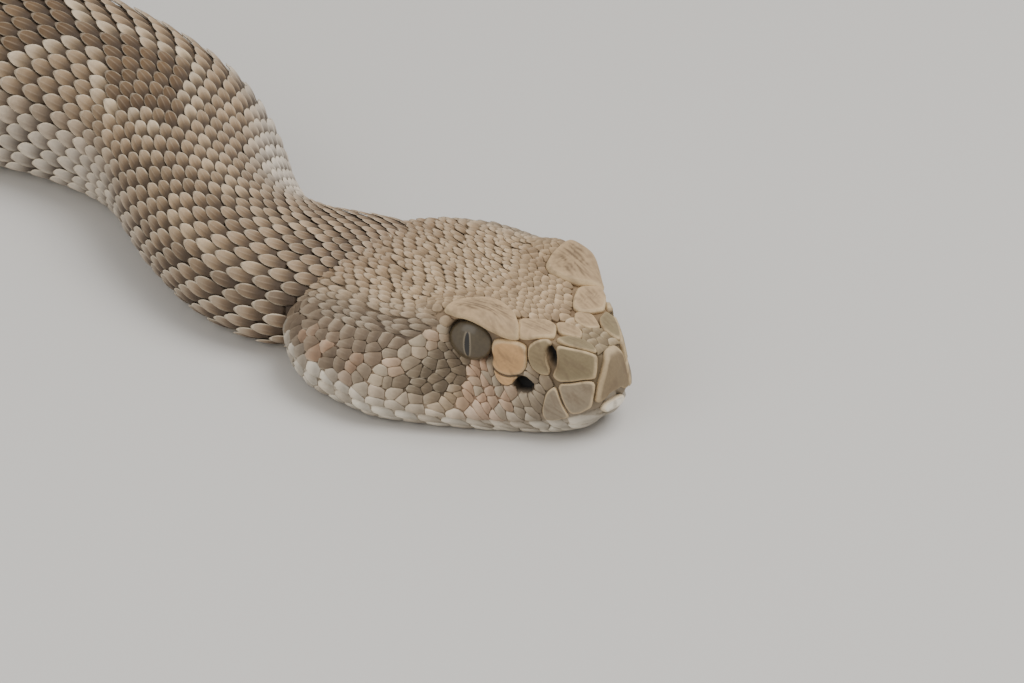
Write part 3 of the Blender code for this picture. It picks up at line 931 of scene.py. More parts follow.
@dataclass(frozen=True)
class ScaleFinish:
    """Dry scales: the tint comes with the mesh, and this adds rims, keels, dust, grain and painted shade at
    each scale's root.
    """

    name: str
    rim: float = 0.8
    tip: float = 0.5
    root: float = 0.85
    keel: float = 0.22
    heart: float = 0.3
    mottle: float = 0.5
    rough: float = 0.6
    grain: float = 0.00006
    shine: float = 0.35
    heart_tone: Colour = (0.10, 0.07, 0.048, 1)
    tip_tone: Colour = (0.74, 0.64, 0.50, 1)
    rim_tone: Colour = (0.82, 0.71, 0.55, 1)
    keel_tone: Colour = (0.55, 0.44, 0.33, 1)
    # Near-black painted shade for the root end of each scale.
    root_shade_tone: Colour = (0.045, 0.03, 0.02, 1)
    mottle_tones: tuple[Colour, Colour] = ((0.5, 0.48, 0.45, 1), (1.35, 1.33, 1.3, 1))

    def dress(self) -> Material:
        """Make the material."""
        board = Board(self.name)
        carried = board.node("ShaderNodeAttribute", {"attribute_name": "tint"}, {})
        paleness = Wire(board, carried.outputs["Alpha"])
        along, across, _ = board.parts(board.attribute("grain"))
        fine = board.noise(2600, 4)
        coarse = board.noise(650, 3)
        edge = along.step(0.86, 0.98) + across.step(0.74, 0.96) * along.step(0.2, 0.5)
        rim = edge * (paleness * 0.55 + 0.45) * self.rim
        end = along.step(0.45, 1.0) * paleness * self.tip
        # Painted shade: each scale darkens towards its root end, as if shaded by the scale in front of it.
        root = (1 - along.step(0.2, 0.72)) * self.root
        keel = (1 - across.step(0.0, 0.16)) * along.step(0.2, 0.5) * self.keel
        heart = (1 - across.step(0.25, 0.85)) * (1 - along.step(0.55, 0.9)) * self.heart
        coats = ((self.heart_tone, heart), (self.tip_tone, end), (self.rim_tone, rim))
        coats = (*coats, (self.keel_tone, keel), (self.root_shade_tone, root))
        light = board.layers(carried.outputs["Color"], coats)
        dust = board.mix(*self.mottle_tones, fine * 0.5 + coarse * 0.5)
        colour = board.mix(light, dust, self.mottle, "MULTIPLY")
        normal = board.bump(fine + coarse * 0.6, self.grain)
        board.shader.inputs["Specular IOR Level"].default_value = self.shine
        return board.finish(base_color=colour, roughness=fine * 0.2 + self.rough, normal=normal)


@dataclass(frozen=True)
class SkinFinish:
    """The soft skin between the scales, darker than they are."""

    name: str = "skin_between_scales"
    shade: Colour = (0.234, 0.221, 0.208, 1)
    rough: float = 0.6
    grain: float = 0.00006

    def dress(self) -> Material:
        """Make the material."""
        board = Board(self.name)
        fine = board.noise(1800, 4)
        colour = board.mix(board.attribute("tint"), self.shade, 1.0, "MULTIPLY")
        normal = board.bump(fine, self.grain)
        return board.finish(base_color=colour, roughness=fine * 0.2 + self.rough, normal=normal)


@dataclass(frozen=True)
class EyeFinish:
    """A glossy olive eye: the mesh carries the pupil, its pale rim and the distance out."""

    name: str = "eye"
    iris_tones: tuple[Colour, Colour] = ((0.036, 0.027, 0.014, 1), (0.11, 0.082, 0.044, 1))
    border_tone: Colour = (0.025, 0.02, 0.015, 1)
    rim_tone: Colour = (0.36, 0.30, 0.21, 1)
    pupil_tone: Colour = (0.008, 0.007, 0.006, 1)
    rough: float = 0.3
    gloss: float = 0.22
    gloss_rough: float = 0.1

    def dress(self) -> Material:
        """Make the material."""
        board = Board(self.name)
        out, pupil, rim = board.parts(board.attribute("grain"))
        fine = board.noise(2400, 5)
        coarse = board.noise(700, 3)
        iris = board.mix(*self.iris_tones, fine * 0.6 + coarse * 0.4)
        coats = ((self.border_tone, out.step(0.75, 1.0)), (self.rim_tone, rim), (self.pupil_tone, pupil))
        board.shader.inputs["Coat Roughness"].default_value = self.gloss_rough
        board.shader.inputs["Coat Weight"].default_value = self.gloss
        return board.finish(base_color=board.layers(iris, coats), roughness=fine * 0.15 + self.rough)


@dataclass(frozen=True)
class HornFinish:
    """The dry horn of the rattle, with painted shade in its grooves."""

    name: str = "rattle_horn"
    horn_tones: tuple[Colour, Colour] = ((0.20, 0.145, 0.085, 1), (0.40, 0.32, 0.215, 1))
    swell_tone: Colour = (0.52, 0.44, 0.31, 1)
    groove_shade_tone: Colour = (0.07, 0.05, 0.034, 1)
    rough: float = 0.42
    grain: float = 0.00012

    def dress(self) -> Material:
        """Make the material."""
        board = Board(self.name)
        along, _, _ = board.parts(board.attribute("grain"))
        streak = board.noise(900, 5)
        fine = board.noise(3500, 3)
        swell = along.step(0.25, 0.8) * 0.4
        # Painted shade: the horn darkens in the grooves at both ends of each segment.
        groove = ((1 - along.step(0.0, 0.38)) + along.step(0.8, 0.98)) * 0.8
        coats = ((self.swell_tone, swell), (self.groove_shade_tone, groove))
        colour = board.layers(board.mix(*self.horn_tones, streak), coats)
        normal = board.bump(streak + fine * 0.5, self.grain)
        return board.finish(base_color=colour, roughness=fine * 0.2 + self.rough, normal=normal)


@dataclass(frozen=True)
class FloorFinish:
    """A plain pale floor."""

    name: str = "plain_floor"
    tones: tuple[Colour, Colour] = ((0.62, 0.60, 0.57, 1), (0.5828, 0.564, 0.5358, 1))
    rough: float = 0.85

    def dress(self) -> Material:
        """Make the material."""
        board = Board(self.name)
        return board.finish(base_color=board.mix(*self.tones, board.noise(4, 2)), roughness=self.rough)


def net_of_sheet(along: int, across: int) -> tuple[Array, Array, Array, list[Array]]:
    """Return a closed sheet's net: top and bottom grids that share their rim.

    Args:
        along: How many rows of points.
        across: How many points in a row.

    Returns:
        Each point's place along from 0 to 1 and across from -1 to 1, whether it is
        underneath, and the faces.
    """
    top = np.arange(along * across).reshape(along, across)
    under = top.copy()
    inner = np.zeros((along, across), bool)
    inner[1:-1, 1:-1] = True
    under[inner] = along * across + np.arange(inner.sum())
    places = np.vstack([np.argwhere(top >= 0), np.argwhere(inner)])
    below = np.arange(len(places)) >= along * across
    faces = [*sheet_faces(top, False), *sheet_faces(under, True)]
    return places[:, 0] / (along - 1), places[:, 1] / (across - 1) * 2 - 1, below, faces


def sheet_faces(grid: Array, flipped: bool) -> list[Array]:
    """Return the faces of a grid of point numbers: squares, and two triangles at each corner.

    Each corner is cut from its outer point inwards, so that top and bottom never share a face.

    Args:
        grid: The point numbers, (along, across).
        flipped: Whether the faces look down.

    Returns:
        The four-sided faces and the triangles.
    """
    a, b, c, d = grid[:-1, :-1], grid[:-1, 1:], grid[1:, 1:], grid[1:, :-1]
    squares = np.stack([a, b, c, d] if flipped else [a, d, c, b], axis=-1)
    corner = np.zeros(a.shape, bool)
    corner[:: a.shape[0] - 1, :: a.shape[1] - 1] = True
    triangles = []
    for square, turn in zip(squares[corner], (0, 1, 1, 0)):
        p, q, r, s = np.roll(square, -turn)
        triangles += [(p, q, r), (p, r, s)]
    return [squares[~corner], np.array(triangles)]


@dataclass(frozen=True)
class LeafForm:
    """One overlapping scale: a keeled leaf whose root is sunk and whose tip is free."""

    along: int = 7
    across: int = 5
    root_height: float = -0.62
    tip_height: float = 0.26
    dome: float = 0.2
    keel: float = 0.14
    thick: float = 0.12
    point: float = 0.05
    widths: tuple = (0.5, 0.74, 0.92, 1.0, 0.99, 0.82, 0.36)

    def net(self) -> tuple[Array, Array, Array, list[Array]]:
        """Return the leaf's own points.

        Returns:
            The place along from 0 to 1, the place across from -1 to 1, the shape as
            (length share, width share, height), and the faces.
        """
        a, b, below, faces = net_of_sheet(self.along, self.across)
        wide = smooth_row(np.linspace(0, 1, len(self.widths)), self.widths, a)
        shape_u = a - 0.5 - self.point * b**2 * a
        height = self.root_height + (self.tip_height - self.root_height) * a**0.8
        height = height + self.dome * (1 - b**2) * np.sin(np.pi * np.clip(a, 0, 0.88)) ** 0.6
        height = height + self.keel * bell(b, 0.18) * ease(0.1, 0.35, a) * (1 - ease(0.84, 0.98, a))
        height = np.where(below, height - self.thick - 0.8 * self.dome * (1 - b**2), height)
        return a, b, np.column_stack([shape_u, wide * b, height]), faces


def lay_leaves(
    pile: MeshPile, leaf: LeafForm, read: Callable,
    at: Array, size: Array, tint: Array, luck: Array, home: Array,
) -> None:
    """Add overlapping scales to a pile.

    Args:
        pile: The piece.
        leaf: The scale's form.
        read: Gives points and outward directions at distances along and across.
        at: Where each scale's middle stands, along and across, (count, 2).
        size: Each scale's length, half width and height factor, (count, 3).
        tint: Linear colours and how pale each tip is, (count, 4).
        luck: A random number each.
        home: Where each scale stands on its coat map, (count, 2).
    """
    a, b, shape, faces = leaf.net()
    along = at[:, :1] + shape[None, :, 0] * size[:, :1]
    across = at[:, 1:] + shape[None, :, 1] * size[:, 1:2]
    points, normals = read(along, across)
    height = shape[None, :, 2] * size[:, 2:] + 0.14 * (luck[:, None] - 0.5) * a[None]
    points = raised(points + normals * height[..., None], LOWEST_SCALE)
    spread = np.broadcast_arrays(a[None], np.abs(b)[None], luck[:, None])
    patch = np.column_stack([a - 0.5, b / 2]) * COAT_PATCH
    pile.add(points, faces, tint[:, None], np.stack(spread, axis=-1), home[:, None] + patch[None])


@dataclass
class BodyCoat:
    """The keeled scales of the back and flanks, and the scutes of the belly."""

    form: BodyForm
    head: HeadForm
    marks: BodyMarks
    seed: int = 11
    belly_seed: int = 5
    hidden_from: float = 0.5
    half_rows: int = 15
    belly_from: float = 0.735
    belly_net: tuple = (4, 19)
    low_rows_wider: float = 0.2
    pitch_at: tuple = (0, 15, 26, 45, 75, 200, 600, 880, 975)
    pitch: tuple = (2.0, 2.3, 2.6, 3.7, 4.7, 5.0, 5.2, 4.2, 3.6)
    slimness: float = 0.61
    near_until: float = 108.0
    near_leaf: LeafForm = LeafForm(along=9, across=9)
    far_leaf: LeafForm = LeafForm()
    cuts: tuple = (0.0, 52.0, 108.0, 290.0, 470.0, 650.0, 780.0, 905.0, 975.0)

    def beats(self) -> tuple[Array, Array]:
        """Return distances along the body and how many scales come before each."""
        u = np.arange(0, self.form.tail_end + 0.1, self.form.step)
        share = self.form.step / smooth_row(self.pitch_at, self.pitch, u)
        return u, np.concatenate([[0], np.cumsum(share)[:-1]])

    def roots(self, rng: Generator) -> Array:
        """Place the scales in rows.

        Args:
            rng: The source of luck.

        Returns:
            Each scale's place (u, q), the spacing of the rows there as a share, and its luck.
        """
        u, count = self.beats()
        rows = np.arange(-self.half_rows, self.half_rows + 1)
        share = rows / (self.half_rows + 0.5)
        curve = share * (1 - self.low_rows_wider) + self.low_rows_wider * share**3
        spacing = (1 - self.low_rows_wider + 3 * self.low_rows_wider * share**2) / (self.half_rows + 0.5)
        places = []
        for row, at, gap in zip(rows, curve, spacing):
            beat = np.arange(0.5 * (row % 2), count[-1] - 0.45, 1.0)
            along = np.interp(beat, count, u) + rng.normal(0, 0.1, len(beat))
            across = at * self.belly_from + rng.normal(0, 0.04, len(beat)) * gap
            places.append(np.column_stack([along, across, np.full(len(beat), gap * self.belly_from)]))
        places = np.vstack(places)
        return np.column_stack([places, rng.random(len(places))])

    def build(self, finishes: dict[str, Material]) -> None:
        """Make the scales, length by length."""
        places = self.roots(np.random.default_rng(self.seed))
        u, q = places[:, 0], places[:, 1]
        shown = self.head.depth(self.form.chart.read(u, q)[0]) < self.hidden_from
        for k, (start, end) in enumerate(zip(self.cuts, self.cuts[1:])):
            here = (u >= start) & (u < end) & shown
            tail = start >= self.form.vent
            slot = "tail" if tail else "scale"
            name = "tail_scales" if tail else f"body_scales_{k + 1}"
            pile = MeshPile()
            leaf = self.near_leaf if end <= self.near_until else self.far_leaf
            self.add_leaves(pile, leaf, places[here], (start, end))
            pile.build(name, self.form.pose, finishes[slot], slot, True)

    def stretch(self, u: Array, q: Array) -> Array:
        """Return how far the skin runs per length of the centre line, in bends."""
        ahead, _ = self.form.chart.read(u + 1, q)
        behind, _ = self.form.chart.read(np.maximum(u - 1, 0), q)
        return reach(ahead - behind)[..., 0] / (u + 1 - np.maximum(u - 1, 0))

    def add_leaves(self, pile: MeshPile, leaf: LeafForm, places: Array, span: tuple) -> None:
        """Add leaves to a pile.

        Args:
            pile: The piece.
            leaf: The scale's form.
            places: Rows of what roots returns.
            span: The piece's start and end, for its coat map.
        """
        u, q, gap, luck = places.T
        girth = self.form.chart.girth(u)
        pitch = smooth_row(self.pitch_at, self.pitch, u)
        room = np.clip(1 / self.stretch(u, q), 0.95, 1.5)
        length = (1.05 + 0.79 * pitch) * room * (1 + 0.08 * (luck - 0.5))
        wide = gap * girth * self.slimness
        size = np.column_stack([length, wide, np.clip(pitch / 4.6, 0.52, 1.1)])
        tint = self.marks.tint(u + 0.1 * length, q, luck)
        home = np.column_stack([0.01 + 0.98 * (u - span[0]) / (span[1] - span[0]), 0.02 + 0.48 * (q + 1)])
        lay_leaves(pile, leaf, self.read, np.column_stack([u, q * girth]), size, tint, luck, home)

    def read(self, along: Array, across: Array) -> tuple[Array, Array]:
        """Return points and outward directions at distances along and across."""
        return self.form.chart.read(along, across / self.form.chart.girth(along))

    def belly(self, finish: Material) -> None:
        """Make the wide scutes of the belly and the smaller ones under the tail."""
        a, b, below, faces = net_of_sheet(*self.belly_net)
        u, count = self.beats()
        at = np.interp(np.arange(2.0, count[-1] - 0.5), count, u)
        length = smooth_row(self.pitch_at, self.pitch, at) * 1.3
        luck = np.random.default_rng(self.belly_seed).random(len(at))
        rim = 1 - (1 - self.belly_from + 0.03) * np.abs(b)
        across = np.where(b >= 0, rim, -rim)
        along = at[:, None] + (a - 0.5 - 0.12 * b**8 * a)[None] * length[:, None]
        points, normals = self.form.chart.read(along, across)
        height = np.where(below, -0.5, -0.35 + 0.33 * a + 0.12 * np.abs(b) ** 6 * a)
        points = raised(points + normals * height[None, :, None], 0)
        shown = self.head.depth(self.form.chart.read(at, np.full(len(at), 0.95))[0]) < 0.4
        side = self.marks.tint(along, across, luck[:, None])
        tail = ease(self.form.vent - 2, self.form.vent + 4, along)
        share = np.maximum(ease(0.72, 1.0, np.abs(b)) * 0.5, tail)
        tint = painted(Tone.BELLY.linear(), (side[..., :3], share))
        tint = np.concatenate([tint, side[..., 3:] * 0], axis=-1)
        grain = np.stack(np.broadcast_arrays(a[None], np.abs(b)[None] * 0.6, luck[:, None]), axis=-1)
        home = np.column_stack([0.01 + 0.98 * at / self.form.tail_end, np.full(len(at), 0.5)])
        patch = np.column_stack([a - 0.5, b / 2]) * COAT_PATCH
        pile = MeshPile()
        pile.add(points[shown], faces, tint[shown], grain[shown], (home[:, None] + patch[None])[shown])
        pile.build("belly_scutes", self.form.pose, finish, "pale", True)


def middle_of(outline: Array) -> Array:
    """Return the middle of a closed outline's area."""
    after = np.roll(outline, -1, axis=0)
    area = cross(outline, after)
    return ((outline + after) * area[:, None]).sum(axis=0) / (3 * area.sum())


def counter_clockwise(rim: Array) -> Array:
    """Return a closed outline that runs round its middle the positive way."""
    return rim if cross(rim, np.roll(rim, -1, axis=0)).sum() > 0 else rim[::-1]


def rounded(outline: Array, count: int) -> Array:
    """Round a closed outline's corners and return so many even points along it."""
    for _ in range(2):
        after = np.roll(outline, -1, axis=0)
        outline = np.stack([0.82 * outline + 0.18 * after, 0.18 * outline + 0.82 * after], axis=1)
        outline = outline.reshape(-1, 2)
    closed = np.vstack([outline, outline[:1]])
    arc = arc_lengths(closed)
    at = np.linspace(0, arc[-1], count, endpoint=False)
    return np.column_stack([np.interp(at, arc, closed[:, k]) for k in (0, 1)])


def near_polygon(outline: Array, x: Array, y: Array, margin: Array) -> Array:
    """Return which points are inside an outline or within a margin of it."""
    after = np.roll(outline, -1, axis=0)
    edge = after - outline
    inside = np.zeros(len(x), bool)
    gap = np.full(len(x), FAR)
    for (ax, ay), (ex, ey) in zip(outline, edge):
        crosses = (ay > y) != (ay + ey > y)
        inside ^= crosses & (x < ax + (y - ay) * ex / (ey if ey else TINY))
        share = np.clip(((x - ax) * ex + (y - ay) * ey) / (ex**2 + ey**2), 0, 1)
        gap = np.minimum(gap, np.hypot(x - ax - share * ex, y - ay - share * ey))
    return inside | (gap < margin)


@dataclass(frozen=True)
class Plate:
    """One large plate of the head: its outline in (station, row place) on either side."""

    name: str
    tone: Tone
    rise: float
    dome: float
    edge: float
    streaks: float
    outline: tuple


PLATES = (
    Plate("brow", Tone.CROWN, rise=0.5, dome=0.1, edge=0.14, streaks=1.0, outline=(
        (18.9, 2.06), (18.9, 1.7), (18.5, 1.26), (17.6, 0.98), (16.0, 0.86), (13.8, 0.98),
        (12.0, 1.2), (10.0, 1.72), (9.2, 2.14), (9.5, 2.24), (11.0, 2.28), (13.2, 2.2),
        (16.2, 2.13),
    )),
    Plate("canthal_back", Tone.CROWN, rise=0.28, dome=0.08, edge=0.08, streaks=0.6, outline=(
        (11.6, 1.24), (10.6, 0.88), (9.4, 0.6), (8.0, 0.66), (7.1, 1.0), (5.95, 1.6), (7.0, 1.9),
        (8.3, 2.14), (9.3, 2.18), (9.8, 1.88),
    )),
    Plate("canthal_front", Tone.SNOUT, rise=0.24, dome=0.06, edge=0.06, streaks=0.4, outline=(
        (5.85, 1.62), (5.5, 1.12), (3.8, 0.85), (2.1, 1.05), (1.1, 1.5), (1.0, 1.86), (2.8, 1.96),
        (4.4, 1.93),
    )),
    Plate("internasal", Tone.CROWN, rise=0.16, dome=0.06, edge=0.04, streaks=0.4, outline=(
        (8.6, 0.52), (7.4, 0.12), (5.2, 0.14), (3.9, 0.82), (5.6, 1.0), (6.8, 1.06),
    )),
    Plate("postnasal", Tone.SNOUT, rise=0.34, dome=0.05, edge=0.08, streaks=0.3, outline=(
        (8.25, 2.3), (7.4, 2.02), (6.4, 1.8), (5.75, 1.92), (5.7, 2.12), (5.95, 2.3), (6.1, 2.5),
        (5.95, 2.7), (5.6, 2.9), (5.7, 3.05), (6.8, 3.05), (7.8, 2.9), (8.25, 2.64),
    )),
    Plate("prenasal", Tone.SNOUT, rise=0.24, dome=0.06, edge=0.05, streaks=0.3, outline=(
        (5.2, 2.02), (3.4, 2.0), (1.6, 1.93), (0.7, 2.0), (0.5, 2.5), (0.5, 3.0), (2.6, 3.12),
        (4.4, 3.17), (5.3, 3.05), (5.0, 2.75), (4.85, 2.45),
    )),
    Plate("first_lip", Tone.LIP_GREY, rise=0.16, dome=0.1, edge=0.03, streaks=0.3, outline=(
        (4.5, 3.22), (2.7, 3.16), (0.5, 3.05), (0.4, 3.4), (0.45, 4.1), (1.5, 4.22), (2.3, 4.1),
        (3.2, 3.7),
    )),
    Plate("second_lip", Tone.LIP_GREY, rise=0.14, dome=0.12, edge=0.03, streaks=0.5, outline=(
        (5.6, 3.42), (4.7, 3.26), (3.5, 3.68), (2.55, 4.1), (2.6, 4.3), (4.2, 4.4), (5.3, 4.3),
        (5.7, 3.85),
    )),
    Plate("preocular", Tone.PREOCULAR, rise=0.3, dome=0.3, edge=0.02, streaks=0.2, outline=(
        (12.6, 2.72), (12.2, 2.42), (11.2, 2.31), (9.7, 2.24), (8.45, 2.3), (8.3, 2.64),
        (8.4, 2.92), (8.9, 3.08), (10.2, 3.14), (11.6, 3.1), (12.45, 2.98),
    )),
    Plate("under_preocular", Tone.PREOCULAR, rise=0.18, dome=0.12, edge=0.02, streaks=0.2, outline=(
        (12.2, 3.06), (11.5, 3.14), (10.2, 3.18), (9.2, 3.14), (9.5, 3.27), (10.1, 3.35),
        (11.0, 3.32), (11.7, 3.22),
    )),
)


@dataclass(frozen=True)
class Hollow:
    """A hollow in the head's side: an oval by station and distance from the crest."""

    at: tuple[float, float]
    size: tuple[float, float]
    depth: float
    soft: float
    tilt: float = 0.0

    @property
    def tilted(self) -> tuple[float, float]:
        """The cosine and sine of the tilt."""
        return math.cos(math.radians(self.tilt)), math.sin(math.radians(self.tilt))

    def away(self, u: Array, v: Array, grow: float = 0.0) -> Array:
        """Return how far places are from the middle, 1 on the oval grown by a length."""
        u, v = u - self.at[0], np.abs(v) - self.at[1]
        cos, sin = self.tilted
        long, short = u * cos + v * sin, v * cos - u * sin
        return np.hypot(long / (self.size[0] + grow), short / (self.size[1] + grow))

    def share(self, u: Array, v: Array) -> Array:
        """Return how far places are inside the oval, from 0 outside to 1."""
        return 1 - ease(1 - self.soft, 1 + self.soft, self.away(u, v))

    def outline(self, count: int, grow: float) -> Array:
        """Return the oval's outline, grown by a length."""
        turn = full_turn(count)
        long, short = (self.size[0] + grow) * np.cos(turn), (self.size[1] + grow) * np.sin(turn)
        cos, sin = self.tilted
        ahead = self.at[0] + long * cos - short * sin
        return np.column_stack([ahead, self.at[1] + long * sin + short * cos])


@dataclass(frozen=True)
class Hollows:
    """The eye sockets, heat pits and nostrils, and the line of the mouth."""

    eye: Hollow = Hollow((14.95, 14.75), (2.6, 2.6), 1.9, 0.1)
    pit: Hollow = Hollow((8.4, 14.35), (1.55, 0.8), 2.1, 0.1, 48.0)
    nostril: Hollow = Hollow((5.5, 7.5), (1.3, 0.5), 1.3, 0.25, 100.0)
    mouth_depth: float = 0.5
    mouth_width: float = 0.28

    def sink(self, head: HeadForm, u: Array, v: Array) -> Array:
        """Return how far the surface is sunk at places (u, v)."""
        deep = sum(h.depth * h.share(u, v) for h in (self.eye, self.pit, self.nostril))
        mouth = bell(np.abs(v) - head.mouth(u), self.mouth_width) * self.mouth_depth
        return deep + mouth * (1 - ease(40, 43, u))

    def stain(self, u: Array, v: Array) -> Array:
        """Return how much painted shade lies in and round the nostrils."""
        hole = np.hypot((u - self.nostril.at[0] + 0.1) / 1.05, (np.abs(v) - self.nostril.at[1]) / 2.2)
        return 0.6 * (1 - ease(0.45, 1.15, hole))


class Kind(Enum):
    """The kinds of small scale on the head."""

    NAPE = 0
    CROWN = 1
    CHEEK = 2
    LIP = 3
    CHIN = 4
    EYE_RING = 5


@dataclass
class Seeds:
    """Where the small scales of the head stand."""

    u: Array
    v: Array
    length: Array
    width: Array
    kind: Array

    def pick(self, which: Array) -> "Seeds":
        """Return the chosen seeds."""
        return Seeds(*(values[which] for values in vars(self).values()))

    def is_kind(self, *kinds: Kind) -> Array:
        """Return which seeds are of these kinds."""
        return np.isin(self.kind, [kind.value for kind in kinds])


@dataclass
class HeadScaleMap:
    """The places of the head's small scales, in rows that follow the head's form."""

    form: HeadForm
    hollows: Hollows
    table: tuple = (0, 3, 9, 14, 18, 30, 40, 50)
    crown_length: tuple = (1.5, 1.5, 1.3, 1.15, 1.35, 1.85, 2.1, 2.3)
    crown_width: tuple = (1.15, 1.15, 0.95, 0.76, 0.82, 1.02, 1.12, 1.25)
    temple_length: tuple = (1.5, 1.5, 1.5, 1.8, 2.2, 2.3, 2.3, 2.3)
    temple_width: tuple = (1.0, 1.0, 0.8, 0.74, 0.8, 0.96, 1.08, 1.2)
    cheek_length: tuple = (1.5, 1.5, 1.3, 1.35, 1.55, 2.1, 2.4, 2.4)
    cheek_width: tuple = (1.2, 1.2, 1.1, 1.1, 1.2, 1.5, 1.6, 1.55)
    temple_place: float = 2.0
    cheek_place: float = 2.62
    lip_height: float = 1.9
    lip_rows: tuple = ((-0.95, 5.1, 0.0), (0.85, 1.9, 0.35))
    lip_until: float = 46.5
    lip_at: tuple = (2, 12, 40)
    lip_length: tuple = (1.8, 2.1, 2.8)
    chin_span: tuple = (2.5, 47)
    chin_pitch: float = 1.3
    ends: tuple = (0.3, 49.6)
    columns: int = 60
    neighbours: int = 18
    sweep: float = 0.12
    shuffle: float = 0.15
    wander: float = 0.42

    def seeds(self, rng: Generator) -> Seeds:
        """Return the seeds of the left side and the crest, without those on plates."""
        rows = self.lattice(rng, Kind.CROWN, self.crown_length, self.crown_width)
        rows += self.lattice(rng, Kind.NAPE, self.temple_length, self.temple_width)
        rows += self.lattice(rng, Kind.CHEEK, self.cheek_length, self.cheek_width)
        rows += self.lips(rng)
        rows += self.chin(rng)
        rows += [(u, v, 1.1, 1.1, Kind.EYE_RING.value) for u, v in self.hollows.eye.outline(18, 0.6)]
        found = Seeds(*np.array(rows).T)
        back = found.is_kind(Kind.CROWN) & (found.u > 18.0 + 0.5 * found.v)
        found.kind[back] = Kind.NAPE.value
        temple = found.is_kind(Kind.NAPE) & (found.u < 19.5)
        found.kind[temple] = Kind.CROWN.value
        return self.cleared(found)

    def band(self, kind: Kind, u: float) -> tuple[float, float]:
        """Return where a band of scales starts and ends, from the crest, at a station."""
        temple = float(self.form.arc(u, self.temple_place))
        cheek = float(self.form.arc(u, self.cheek_place))
        if kind is Kind.CROWN:
            return -0.01, temple + 0.3
        if kind is Kind.NAPE:
            return temple + 0.05, cheek
        return cheek + 0.2, float(self.form.mouth(u)) - self.lip_height

    def lattice(self, rng: Generator, kind: Kind, lengths: tuple, widths: tuple) -> list[tuple]:
        """Return staggered rows of seeds in one band, swept back from the crest."""
        along = np.arange(-12, 50, 0.25)
        beat = np.concatenate([[0], np.cumsum(0.5 / np.interp(along, self.table, lengths))[:-1]])
        sweep = 0.0 if kind is Kind.CHEEK else self.sweep
        shuffle = self.shuffle * (1.36 if kind is Kind.CHEEK else 1)
        places = []
        for turn in range(int(beat[-1])):
            line = float(np.interp(turn, beat, along))
            for k in range(turn % 2, self.columns, 2):
                v = 0.0
                for _ in range(3):
                    u = line + sweep * v
                    low, high = self.band(kind, max(u, self.ends[0]))
                    width = float(np.interp(u, self.table, widths))
                    v = k * width if kind is Kind.CROWN else low + (k + 0.5) * width
                if v > high or not self.ends[0] < u < self.ends[1]:
                    continue
                length = float(np.interp(u, self.table, lengths))
                jitter = rng.normal(0, shuffle, 2) * (length, width * (v > 0.1))
                wander = self.wander * length * float(ripple(np.array(0.22 * u), np.array(0.75 * v), 0.6))
                places.append((u + jitter[0] + wander, v + jitter[1], length, width, kind.value))
        return places

    def lips(self, rng: Generator) -> list[tuple]:
        """Return the rows along the upper and the lower lip."""
        places = []
        for offset, u, longer in self.lip_rows:
            while u < self.lip_until:
                step = float(np.interp(u, self.lip_at, self.lip_length)) + longer
                v = float(self.form.mouth(u)) + offset
                at = (u + rng.normal(0, 0.05), v + rng.normal(0, 0.04))
                places.append((*at, step, self.lip_height, Kind.LIP.value))
                u += step
        return places

    def chin(self, rng: Generator) -> list[tuple]:
        """Return the seeds of the chin and throat."""
        places = []
        u, end = self.chin_span
        turn = 0
        while u < end:
            top = float(self.form.mouth(u)) + self.lip_height
            bottom = float(self.form.chart.girth(u))
            count = max(round((bottom - top) / self.chin_pitch), 1)
            for k in range(turn % 2, count, 2):
                v = top + (k + 0.6) / count * (bottom - top)
                places.append((u + rng.normal(0, 0.1), v + rng.normal(0, 0.08), 2.6, 1.6, Kind.CHIN.value))
            u += self.chin_pitch
            turn += 1
        return places

    def plate_outlines(self) -> list[tuple[Plate, Array]]:
        """Return each plate with its outline on the left side in (u, v)."""
        found = []
        for plate in PLATES:
            outline = np.array(plate.outline)
            v = self.form.arc(outline[:, 0], outline[:, 1])
            found.append((plate, np.column_stack([outline[:, 0], v])))
        return found

    def cleared(self, seeds: Seeds) -> Seeds:
        """Drop the seeds that stand on a plate or in a hollow."""
        eye, pit = self.hollows.eye, self.hollows.pit
        keep = (seeds.u > 0.8) & (seeds.v <= self.form.chart.girth(seeds.u) - 0.2)
        ring = seeds.is_kind(Kind.EYE_RING)
        keep &= ring | (eye.away(seeds.u, seeds.v, 1.05) > 1)
        keep &= pit.away(seeds.u, seeds.v, 0.35) > 1
        keep &= self.hollows.nostril.away(seeds.u, seeds.v, 0.6) > 1
        keep &= ~(ring & (seeds.u < eye.at[0] - 1.0) & (seeds.v < eye.at[1] - 0.2))
        for plate, outline in self.plate_outlines():
            margin = np.where(ring & (plate.name == "brow"), 0.8, 0.3)
            keep &= ~near_polygon(outline, seeds.u, seeds.v, margin)
        return seeds.pick(keep)

    def fences(self) -> list[Array]:
        """Return the outlines that the small scales stop at, on the left side."""
        closed = [outline for _, outline in self.plate_outlines()]
        closed.append(self.hollows.eye.outline(24, -0.12))
        closed.append(self.hollows.pit.outline(12, 0.02))
        found = [np.vstack([outline, outline[:1]]) for outline in closed]
        u = np.linspace(0.3, 44, 34)
        found.append(np.column_stack([u, self.form.mouth(u)]))
        along = np.linspace(0, 50, 26)
        found.append(np.column_stack([along, self.form.chart.girth(along)]))
        found.append(np.array([(0.75, 0.0), (0.7, 2.0), (0.45, 3.5), (0.4, 16.0)]))
        return found

    def both_sides(self, seeds: Seeds, rng: Generator) -> Seeds:
        """Return the seeds with their mirror images, a little shuffled."""
        other = seeds.pick(seeds.v > 0.05)
        other.v = -other.v
        both = Seeds(*(np.concatenate([a, b]) for a, b in zip(vars(seeds).values(), vars(other).values())))
        loose = both.is_kind(Kind.CROWN, Kind.NAPE, Kind.CHEEK)
        both.u = both.u + rng.normal(0, 0.05, len(both.u)) * loose
        return both

